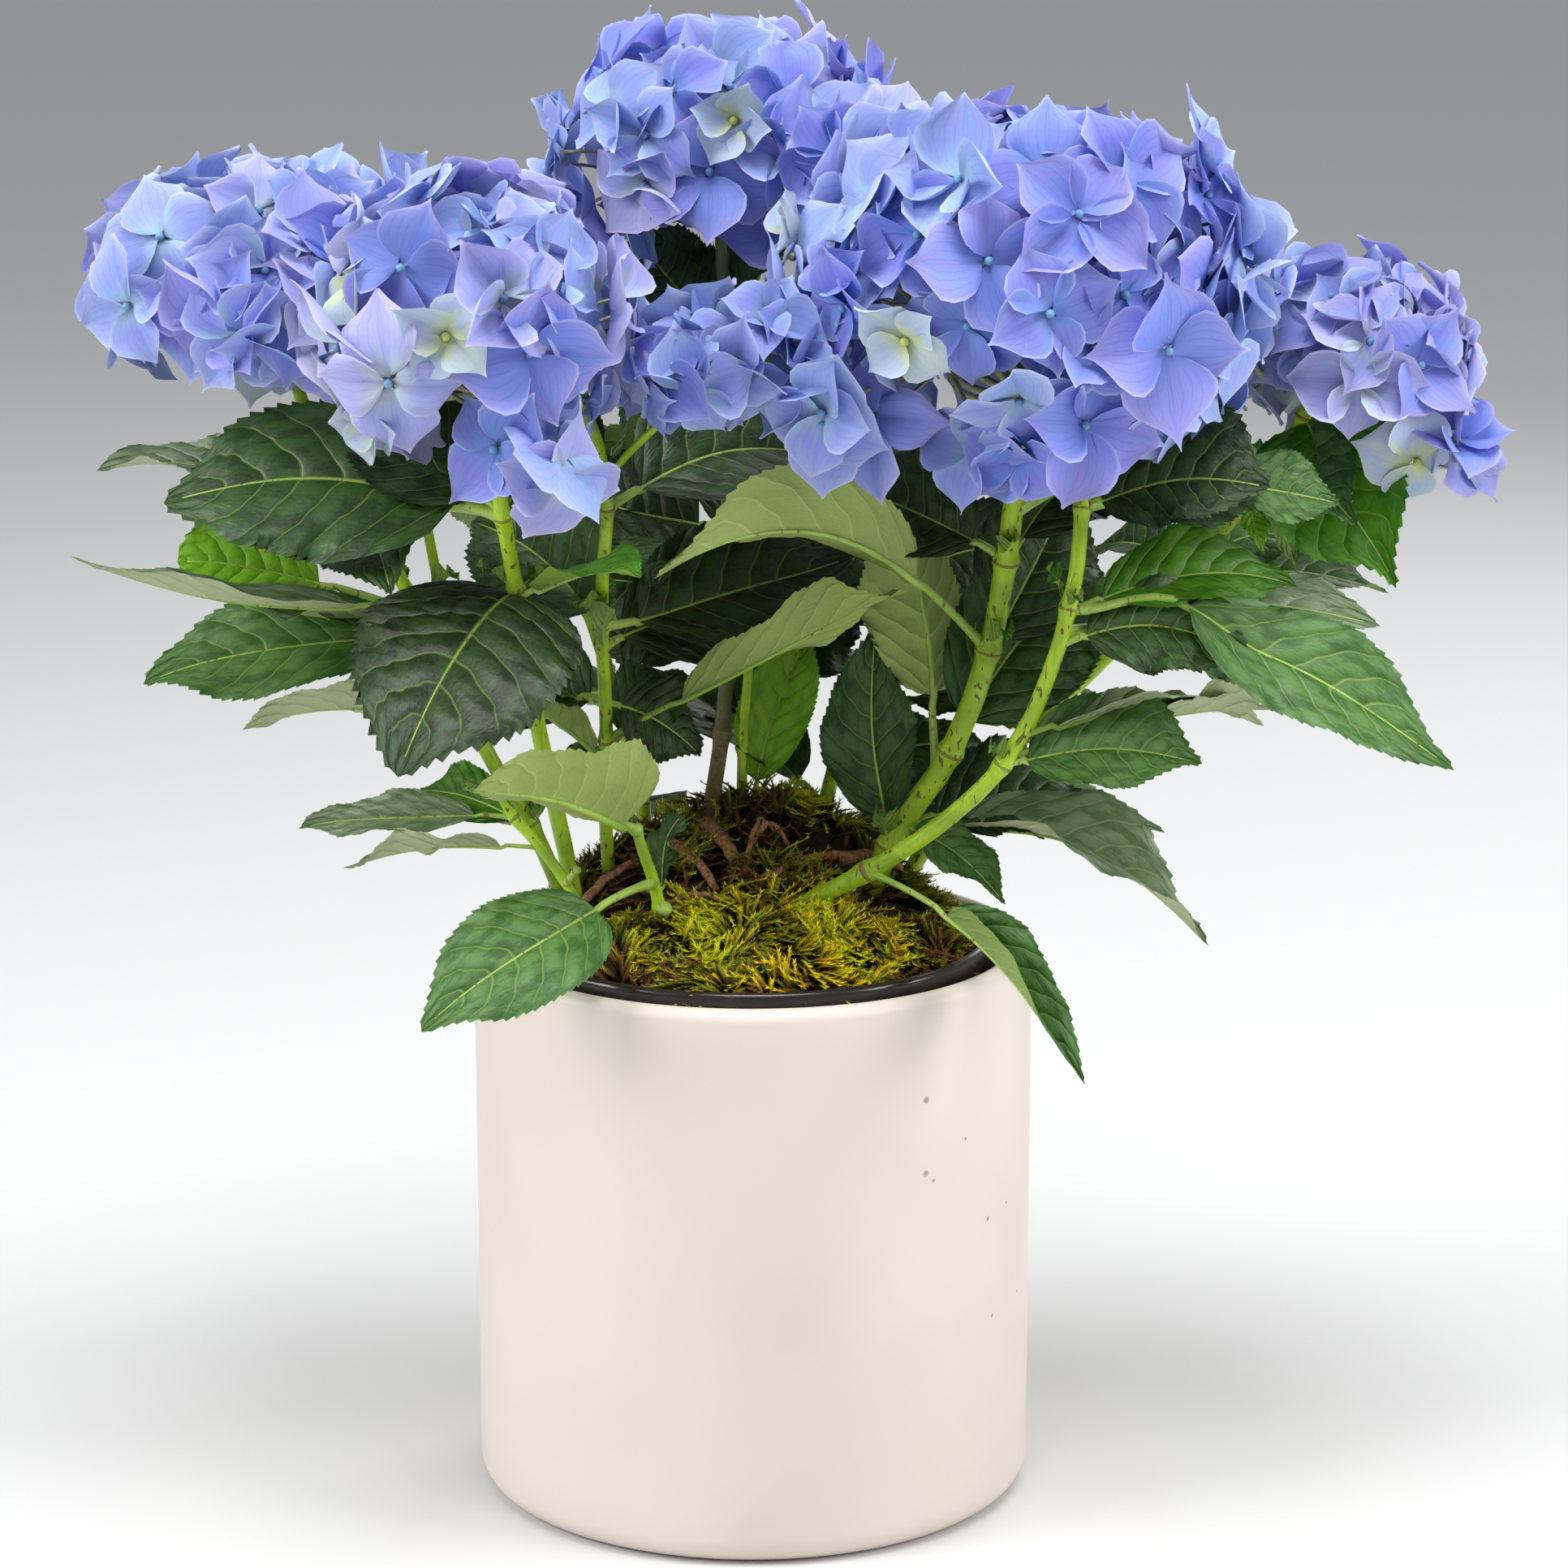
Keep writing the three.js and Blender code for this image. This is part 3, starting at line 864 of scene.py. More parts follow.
@dataclass
class Limb:
    """One stem, shoot or bough: a tapering tube with a swelling and a scar at each pair of leaves."""

    spine: Spine
    joints: list[float]
    slim: float = 0.85
    swell: float = 0.3
    width: float = 2.4 * MM
    sides: int = 16
    step: float = 1.5 * MM
    rough: float = 0.05

    def radii(self, heights: Array) -> Array:
        """Measures the limb.

        Args:
            heights: Where to measure it.

        Returns:
            The radius at each height, with the swellings.
        """
        plain = np.interp(heights, self.spine.line[:, 2], self.spine.radii)
        bulge = sum((np.exp(-((heights - joint) / self.width) ** 2) for joint in self.joints),
                    np.zeros_like(heights))
        return self.slim * plain * (1 + self.swell * np.minimum(bulge, 1))

    def scar(self, joined: Joined, height: float) -> None:
        """Adds the brown ring that a pair of leaves leaves round the stem.

        Args:
            joined: Where the rings are joined.
            height: The height of the ring.
        """
        levels = height + np.linspace(-0.5, 0.5, 4) * MM
        line = np.array([self.spine.at(level) for level in levels])
        radii = self.radii(levels) * np.array([1.0, 1.025, 1.025, 1.0])
        joined.add(*tube(line, radii, self.sides))

    def build(self, slot: str, shader: Shader) -> None:
        """Bends a rolled grid along the spine.

        Args:
            slot: Not used.
            shader: The skin.
        """
        line = self.spine.line
        length = np.concatenate([[0], np.cumsum(np.linalg.norm(np.diff(line, axis=0), axis=1))])
        rows = max(8, round(length[-1] / self.step))
        middle = resampled(np.linspace(0, length[-1], rows + 1), length, line)
        radii = self.radii(middle[:, 2])
        side, other = carried(middle, EAST[None])
        shape = bmesh.new()
        shape.loops.layers.uv.new(Joined.MAP)
        bmesh.ops.create_grid(shape, x_segments=self.sides, y_segments=rows, size=0.5, calc_uvs=True)
        for corner in shape.verts:
            row = round((corner.co.y + 0.5) * rows)
            angle = (corner.co.x + 0.5) * math.tau
            out = math.cos(angle) * side[row] + math.sin(angle) * other[row]
            x, y, z = middle[row]
            uneven = 1 + self.rough * noise.noise(Vector((x * 160, y * 160, z * 60 + 3 * angle)))
            corner.co = Vector(middle[row] + out * radii[row] * uneven)
        bmesh.ops.remove_doubles(shape, verts=shape.verts, dist=1e-6)
        bmesh.ops.holes_fill(shape, edges=shape.edges, sides=self.sides + 1)
        bmesh.ops.recalc_face_normals(shape, faces=shape.faces)
        dressed(from_bmesh(shape, self.spine.node + "_skin"), shader, (self.spine.node,))


FRESH_STEMS = StemSkin("green stem", bark_from=0.0, bark_to=0.07)
WOODY_STEMS = StemSkin("woody stem", 0x848C5C, 0x6C7048, bark_from=0.12, bark_to=0.5)
STEM_NAMES = sorted(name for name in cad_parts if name.startswith(("stem_", "shoot_", "bough_")))


@dataclass
class Stems:
    """All stems, shoots and boughs, and the scars at their joints."""

    spines: dict[str, Spine]
    joints: dict[str, list[float]]

    def build(self) -> None:
        """Makes a piece of each, and joins the scars into one."""
        fresh, woody = FRESH_STEMS.shader(), WOODY_STEMS.shader()
        scars = Joined()
        for name, spine in self.spines.items():
            old = name == "stem_woody"
            limb = Limb(spine, self.joints[name])
            limb.build("woody_stem" if old else "stem", woody if old else fresh)
            for height in self.joints[name]:
                limb.scar(scars, height)
        skin = StemSkin("leaf scar", 0x869232, 0x7A5C30)
        dressed(scars.piece("leaf_scars"), skin.shader())


# ---- leaves ----


@dataclass(frozen=True)
class LeafSkin:
    """Both sides of a leaf: blade, veins, painted shade in the vein grooves and the light that comes through
    it.
    """

    name: str
    blade: Color
    # The darker tone of the blade's random patches, also used as painted shade in the vein grooves.
    tone_and_groove_shade: Color
    vein: Color
    under: Color
    under_vein: Color
    through: Color
    share: float = 0.2
    gloss: float = 0.42

    PAIRS = 7.5
    SWEEP = 0.25
    CURVE = 1.3
    RELIEF = 1.0 * MM
    SPECULAR = 0.5

    def shader(self) -> Shader:
        """The material. It reads only the blade's own map."""
        made = Shader(self.name, self.blade, self.gloss)
        lower, s, t, _ = made.blade(1)
        out = abs(s)
        where = made.point(s, t * 1.6)
        tone = made.noise(where, 4, 3, 0.6, "2D")
        bent = made.noise(where, 4, 0, 0.5, "2D")
        ribs = (t - self.SWEEP * out ** self.CURVE + bent * 0.03) * self.PAIRS
        near = abs(ribs.fraction() - 0.5) * 2
        lateral = (near - out * 0.04).eased(0.87, 0.96) * (1 - out.eased(0.76, 0.96))
        lateral = lateral * (1 - t.eased(0.84, 0.96))
        net = 1 - made.net(made.point(s * 2.4, t * 4.2), 7.5).eased(0.0, 0.08)
        midrib = (1 - (out + t * 0.02).eased(0.012, 0.04)) * (1 - t.eased(0.92, 1.0))
        upper = made.mix(self.blade, self.tone_and_groove_shade, tone.eased(0.38, 0.66))
        # Painted shade: the blade darkens towards the sunken veins, between the raised bulges.
        upper = made.mix(upper, self.tone_and_groove_shade, near.eased(0.2, 1.0) * 0.45)
        upper = made.mix(upper, self.vein, midrib.most(lateral * 0.5).most(net * 0.12) * 0.85)
        back = made.mix(self.under, self.under_vein, midrib.most(lateral * 0.8).most(net * 0.28))
        back = made.mix(back, self.blade, tone.eased(0.45, 0.8) * 0.2)
        made.feed("Base Color", made.mix(upper, back, lower))
        made.feed("Roughness", self.gloss + 0.12 * tone + lower * 0.2)
        sunk = near ** 3 * 0.7 + midrib * 0.5 - made.noise(where, 22, 1, 0.6, "2D") * 0.2
        made.relief(sunk * (lower * 2 - 1), self.RELIEF, 0.85)
        made.plain("Specular IOR Level", self.SPECULAR)
        made.glow_through(self.through, self.share)
        return made


class Tint(Enum):
    """The tints that leaves come in. The brightest is a lighter copy of the fresh one, with painted light in
    its colour; the grey one is lightened partly as painted sheen; and some leaves that lie in shade are given
    lighter tints as painted light.
    """

    DARK = LeafSkin("leaf dark", 0x325020, 0x182C0E, 0x8EB04E, 0x607A3A, 0x98B05C, 0x468010, 0.1)
    DEEP = LeafSkin("leaf deep", 0x40662C, 0x244218, 0x98BC54, 0x7A9648, 0xA8C068, 0x589616, 0.14)
    MID = LeafSkin("leaf mid", 0x628C48, 0x3A6426, 0xACCE66, 0x92AE5C, 0xBCD27C, 0x72B020, 0.2)
    FRESH = LeafSkin("leaf fresh", 0x609C22, 0x3E780E, 0xB0D450, 0x92B448, 0xC0D86C, 0x78C410, 0.3)
    # A lighter copy of the fresh tint: its colour holds painted light.
    BRIGHT = LeafSkin("leaf bright", 0xA0D632, 0x78B618, 0xC4E668, 0xA0C450, 0xC6DC6E, 0x96D81E, 0.36)
    PALE = LeafSkin("leaf pale", 0x7E9C4C, 0x5E8232, 0xBCD272, 0xAABE68, 0xCADA88, 0x90BC32, 0.2)
    # Grey-green, partly the leaves' own colour and partly painted sheen that lightens it.
    GREY_SHEEN = LeafSkin("leaf grey", 0x90A47E, 0x607C52, 0xC2D29A, 0xB8C496, 0xD4DCB2, 0x7CA444, 0.16, 0.28)


@dataclass
class Leaf:
    """One leaf of a mass: where it hangs on its stem, how it lies and what finish it has.

    Angles are in degrees and lengths in millimetres. The mass's CAD node gives the leaf's place,
    reach and width, unless the leaf has an aim of its own: a height on its stem, a rise and a
    length. Hook is how far its stalk climbs before the blade hangs.
    """

    mass: str
    stem: str
    azimuth: float
    roll: float
    tint: Tint
    stalk: float = 0.15
    fold: float = 10.0
    cup: float = 0.1
    curl: float = 0.12
    swerve: float = 0.04
    twist: float = 0.0
    wave: float = 0.7
    point: float = 0.8
    drawn: float = 0.4
    base: float = 0.6
    width: float = 0.0
    reach: float = 1.0
    drop: float = 0.0
    arch: float = 0.0
    hook: float = 0.0
    aim: Triple | None = None


@dataclass
class Spur:
    """A short bare shoot: its height on a stem, and the way it grows.

    Lengths are in millimetres, and azimuth, rise above level and roll in degrees. Width is the
    radius of a bare shoot.
    """

    stem: str
    height: float
    azimuth: float
    rise: float
    reach: float
    width: float
    roll: float = 0.0


@dataclass
class Sprig(Spur):
    """A leaf of the branching rule, which grows as a spur does and has a blade of its width."""

    tint: Tint = Tint.DARK


@dataclass
class LeafSeat:
    """Where a leaf lies: its root on the stem, its tip, the direction across and its sizes in metres."""

    root: Array
    tip: Array
    side: Array
    width: float
    arch: float


class Foliage:
    """All leaves and their stalks, the buds where they grow, and the joints where the scars go."""

    SEED = 11
    TEETH = 24
    THICK = 0.34 * MM
    QUILT = 1.15 * MM
    STALK_ROWS = 7
    JOINT_GAP = 26 * MM
    SPREAD = 24
    WIDTHS = (30 * MM, 80 * MM)
    ARCHES = (-10 * MM, 24 * MM)
    PLAIN_SEAT = (45 * MM, 5 * MM)
    PAIR_GAP = 30.0
    LOWEST_FRONT = 300
    FRONT_BARE = 0.45
    PAIR_REACH = (52, 84)
    PAIR_SLIM = (0.5, 0.66)
    PAIR_RISE = (-18, 30)
    LOWEST_BUD = 215 * MM
    BUDLESS = 0.35
    BUD_WIDTH = (4, 9)
    BUD_SLIM = (2.0, 2.8)
    BUD_RISE = (35, 70)

    def __init__(self, spines: dict[str, Spine]) -> None:
        """Sets up the blade's grid and the pieces that leaves are joined into.

        Args:
            spines: The stems' middle lines by name.
        """
        tooth = (np.arange(self.TEETH)[:, None] + np.array([[0.0, 0.78]])).ravel() / self.TEETH
        along = np.concatenate([0.985 * tooth, [0.985, 1.0]])
        half = np.array([0.045, 0.16, 0.34, 0.55, 0.76, 0.93, 1.0])
        self.sheet = Sheet(along, np.concatenate([-half[::-1], [0.0], half]))
        self.spines = spines
        self.rng = np.random.default_rng(self.SEED)
        self.blades = {tint: Joined() for tint in Tint}
        self.stalks = Joined()
        self.masses: dict[Tint, list[str]] = {tint: [] for tint in Tint}
        self.joints: dict[str, list[float]] = {name: [] for name in spines}

    def seat(self, leaf: Leaf) -> LeafSeat:
        """Measures a leaf's place on its CAD mass, or takes its own aim.

        Args:
            leaf: The leaf.

        Returns:
            Its seat.
        """
        if leaf.aim:
            height, rise, length = leaf.aim
            way = Spur(leaf.stem, height, leaf.azimuth, rise, length, leaf.width, leaf.roll)
            return self._aimed(way, leaf.arch)
        corners = corners_of("leaves_" + leaf.mass)
        root = self.spines[leaf.stem].root_of(corners)
        ahead = level_way(math.radians(leaf.azimuth))
        off = corners - root
        level = off[:, :2] / np.maximum(np.linalg.norm(off[:, :2], axis=1, keepdims=True), 1e-9)
        inside = level @ ahead[:2] > math.cos(math.radians(self.SPREAD))
        reach = np.where(inside, np.linalg.norm(off, axis=1), -1)
        chord = corners[reach.argmax()] - root
        along = unit(chord)
        side = turn(unit(np.cross(SKY, along)), along, leaf.roll)
        share = off @ along / reach.max()
        middle = (share > 0.35) & (share < 0.65) & inside
        width, arch = self.PLAIN_SEAT
        if middle.any():
            width = float(np.clip(2 * np.abs(off[middle] @ side).max(), *self.WIDTHS))
            arch = float(np.clip((off[middle, 2] - share[middle] * chord[2]).mean(), *self.ARCHES))
        tip = root + chord * leaf.reach - SKY * leaf.drop * MM
        return LeafSeat(root, tip, side, leaf.width * MM or width, leaf.arch * MM or arch)

    def _aimed(self, way: Spur, arch: float) -> LeafSeat:
        """Finds a seat from bearings.

        Args:
            way: Where it grows and how.
            arch: The height of its bend, in millimetres.

        Returns:
            The seat.
        """
        root = self.spines[way.stem].at(way.height * MM)
        level, climb = math.radians(way.azimuth), math.radians(way.rise)
        flat = math.cos(climb)
        along = np.array([flat * math.cos(level), flat * math.sin(level), math.sin(climb)])
        side = turn(unit(np.cross(SKY, along)), along, way.roll)
        return LeafSeat(root, root + along * way.reach * MM, side, way.width * MM, arch * MM)

    def add(self, leaf: Leaf) -> None:
        """Adds a leaf to its tint's piece, and notes the mass and the joint on the stem.

        Args:
            leaf: The leaf.
        """
        seat = self.seat(leaf)
        self.grow(leaf, seat)
        mass = "leaves_" + leaf.mass
        if mass not in sum(self.masses.values(), []):
            self.masses[leaf.tint].append(mass)
        self._note_joint(leaf.stem, seat.root[2])

    def sprout(self, sprig: Sprig) -> None:
        """Adds a leaf of the branching rule, with its bends left to chance.

        Args:
            sprig: Where it grows and how.
        """
        rng = np.random.default_rng(int(abs(7 * sprig.height + 3 * sprig.azimuth)))
        seat = self._aimed(sprig, sprig.reach * rng.uniform(0.05, 0.12))
        leaf = Leaf("", sprig.stem, sprig.azimuth, sprig.roll, sprig.tint, rng.uniform(0.1, 0.2),
                    rng.uniform(6, 24), rng.normal(0, 0.12), rng.uniform(0, 0.35), rng.normal(0, 0.05),
                    rng.normal(0, 12), rng.uniform(0.6, 1.5), rng.uniform(0.72, 0.95))
        self.grow(leaf, seat)
        self._note_joint(sprig.stem, seat.root[2])

    def spur(self, spur: Spur) -> None:
        """Adds a short bare shoot.

        Args:
            spur: Where it grows and how.
        """
        seat = self._aimed(spur, 0)
        steps = np.linspace(0, 1, 9)
        line = seat.root + (seat.tip - seat.root) * steps[:, None] + SKY * (2 * MM * steps[:, None] ** 2)
        radii = seat.width * np.interp(steps, [0, 0.3, 0.9, 1], [1.3, 1, 0.95, 1.1])
        self.stalks.add(*tube(line, radii, 12))

    def _note_joint(self, stem: str, height: float) -> None:
        """Notes a joint on a stem unless one is close by."""
        if all(abs(height - joint) > self.JOINT_GAP for joint in self.joints[stem]):
            self.joints[stem].append(height)

    def grow(self, leaf: Leaf, seat: LeafSeat) -> None:
        """Makes the stalk and the blade of one leaf.

        Args:
            leaf: How it lies.
            seat: Where it lies.
        """
        chord = seat.tip - seat.root
        reach = np.linalg.norm(chord)
        normal = np.cross(unit(chord), seat.side)
        start = self.STALK_ROWS
        steps = np.concatenate([np.linspace(0, leaf.stalk, start + 1)[:-1],
                                leaf.stalk + (1 - leaf.stalk) * self.sheet.t[:, 0]])
        bend = seat.arch * 4 * steps * (1 - steps)
        bend = bend + leaf.hook * MM * np.sin(math.pi * np.minimum(2 * steps, 1)) ** 2
        line = seat.root + chord * steps[:, None] + SKY * bend[:, None]
        line = line + seat.side * (leaf.swerve * reach * np.sin(math.pi * steps) ** 1.5)[:, None]
        droop = leaf.curl * reach * np.maximum(0, steps - 0.45) ** 2
        line = line - normal * droop[:, None]
        side, up = carried(line, seat.side[None], leaf.twist * (steps - 0.4))
        self._blade(leaf, seat.width, line[start:], side[start:], up[start:])
        self._stalk(line, up, seat.width)

    def _blade(self, leaf: Leaf, width: float, line: Array, side: Array, up: Array) -> None:
        """Adds the blade along its line.

        Args:
            leaf: How it lies.
            width: Its greatest width.
            line: Its middle line, a point for each station.
            side: The direction across, at each station.
            up: The direction of the upper side, at each station.
        """
        t, s = self.sheet.t, self.sheet.s
        rng = self.rng
        out = np.abs(s)
        half = width / 2 * outline(t, leaf.base, leaf.point, leaf.drawn, (0.7, 0.97))
        half = np.maximum(half, 0.15 * MM)
        phase = rng.uniform(0, math.tau, 4)
        uneven = 1 + 0.035 * np.sin(5 * t + phase[0] + np.sign(s) * 0.9)
        size = np.repeat(rng.uniform(0.55, 1.2, self.TEETH + 1), 2)
        tooth = np.concatenate([np.tile([-0.35, 0.65], self.TEETH), [-0.2, 0.0]]) * size
        depth = 0.024 * width * smooth_step(0.0, 0.08, t) * tooth[:, None]
        edge = smooth_step(0.9, 1.0, out)
        reach = out * half * uneven + depth * edge
        fold = np.radians(leaf.fold) * (1 - 0.4 * t)
        lift = reach * np.sin(fold) + leaf.cup * half * out ** 2
        frill = leaf.wave * MM * smooth_step(0.05, 0.4, t) * (1 - smooth_step(0.9, 1.0, t))
        lift = lift + frill * 2.4 * out ** 2 * np.sin(11 * t + phase[1] + np.sign(s) * phase[2])
        lift = lift + 0.5 * frill * out ** 3 * np.sin(37 * t + phase[3] + np.sign(s) * 2.0)
        bulge = np.abs(np.sin(math.pi * (t - LeafSkin.SWEEP * out ** LeafSkin.CURVE) * LeafSkin.PAIRS))
        inner = (1 - smooth_step(0.86, 1.0, out)) * smooth_step(0.02, 0.12, out)
        swell = self.QUILT * width / (60 * MM) * smooth_step(0.0, 0.12, t) * (1 - smooth_step(0.8, 1.0, t))
        lift = lift + swell * (1.4 * np.sqrt(bulge) - 0.7) * inner
        lift = lift - 0.7 * MM * np.exp(-(s * half / (1.6 * MM)) ** 2)
        closed = (1 - edge) * smooth_step(0, 0.02, t) * (1 - smooth_step(0.97, 1, t))
        ridge = 0.5 * MM * (1 - np.sqrt(bulge)) * inner * (1 - t)
        points = self.sheet.formed(line, (side, up), np.sign(s) * reach * np.cos(fold), lift,
                                   (self.THICK + ridge) * closed)
        lean = depth * edge * 0.9 + half * 0.1 * out ** 2 * smooth_step(0.0, 0.3, t) * (1 - t)
        ahead = unit(np.gradient(line, axis=0))
        shift = (ahead[:, None] * lean[..., None]).reshape(-1, 3)
        points = points + np.concatenate([shift, shift])
        self.blades[leaf.tint].add(points, self.sheet.faces, self.sheet.map_points)

    def _stalk(self, line: Array, up: Array, width: float) -> None:
        """Adds the stalk, which runs on under the blade as its midrib.

        Args:
            line: The middle line of stalk and blade.
            up: The direction of the upper side, at each point.
            width: The blade's width, which the stalk's is made to suit.
        """
        start = self.STALK_ROWS
        stations = np.r_[0:start, start:len(line) - 4:3]
        share = np.linspace(0, 1, len(stations))
        stout = (width / (55 * MM)) ** 0.6
        radii = np.interp(share, [0, 0.08, 0.3, 0.6, 1], [2.7, 1.8, 1.5, 0.9, 0.3]) * MM * stout
        sink = np.where(stations < start, 0, 1)[:, None] * (radii[:, None] * 0.85 + 0.5 * MM)
        self.stalks.add(*tube(line[stations] - up[stations] * sink, radii, 8))

    def bud(self) -> None:
        """Sets a pair of small new leaves at some of the joints."""
        rng = self.rng
        for stem, joints in self.joints.items():
            for height in joints:
                if stem == "stem_woody" or height < self.LOWEST_BUD or rng.random() < self.BUDLESS:
                    continue
                bearing = rng.uniform(0, 360)
                for way in (0, 180):
                    width = rng.uniform(*self.BUD_WIDTH)
                    rise = rng.uniform(*self.BUD_RISE)
                    reach = width * rng.uniform(*self.BUD_SLIM)
                    roll = rng.uniform(-20, 20)
                    self.sprout(Sprig(stem, height / MM, bearing + way, rise, reach, width, roll, Tint.FRESH))

    def fill(self) -> None:
        """Gives the stems behind their further pairs of leaves, each pair set across the last."""
        rng = self.rng
        for stem, low, high in BACK_STEMS:
            bearing = rng.uniform(0, 180)
            for height in np.arange(low, high, self.PAIR_GAP):
                for way in (0, 180):
                    angle = (bearing + way + rng.normal(0, 12)) % 360
                    behind = 20 < angle < 160
                    if not behind and (rng.random() < self.FRONT_BARE or height < self.LOWEST_FRONT):
                        continue
                    reach = rng.uniform(*self.PAIR_REACH)
                    rise = rng.uniform(*self.PAIR_RISE)
                    width = reach * rng.uniform(*self.PAIR_SLIM)
                    roll = rng.normal(0, 14)
                    tint = Tint.DEEP if rng.random() < 0.6 else Tint.DARK
                    self.sprout(Sprig(stem, float(height), angle, rise, reach, width, roll, tint))
                bearing += 90

    def build(self) -> None:
        """Grows all leaves and shoots, and joins the leaves of each tint and the stalks into pieces."""
        for table, grow in ((LEAVES, self.add), (SPRIGS, self.sprout), (SPURS, self.spur)):
            for entry in table:
                grow(entry)
        self.fill()
        self.bud()
        for tint, blades in self.blades.items():
            piece = blades.piece("leaves_" + tint.name.lower())
            dressed(piece, tint.value.shader(), tuple(self.masses[tint]))
        skin = StemSkin("leaf stalk", 0xA8C65C, 0x88AC42, 0x84543C)
        dressed(self.stalks.piece("leaf_stalks"), skin.shader())


SPURS = [
    Spur("stem_right_thick", 340, -12, 28, 21, 2.5),
    Spur("shoot_front_left", 206, -78, 12, 8, 2.4),
    Spur("stem_centre", 345, 160, 24, 14, 1.6),
    Spur("shoot_low_left", 214, -60, 30, 9, 1.5),
    Spur("stem_back_right", 262, 60, 20, 12, 2.0),
]

BACK_STEMS = [
    ("stem_back_left", 225.0, 350.0),
    ("stem_back_right", 225.0, 350.0),
    ("stem_woody", 250.0, 400.0),
    ("stem_far_right", 250.0, 330.0),
    ("stem_far_left", 235.0, 340.0),
]

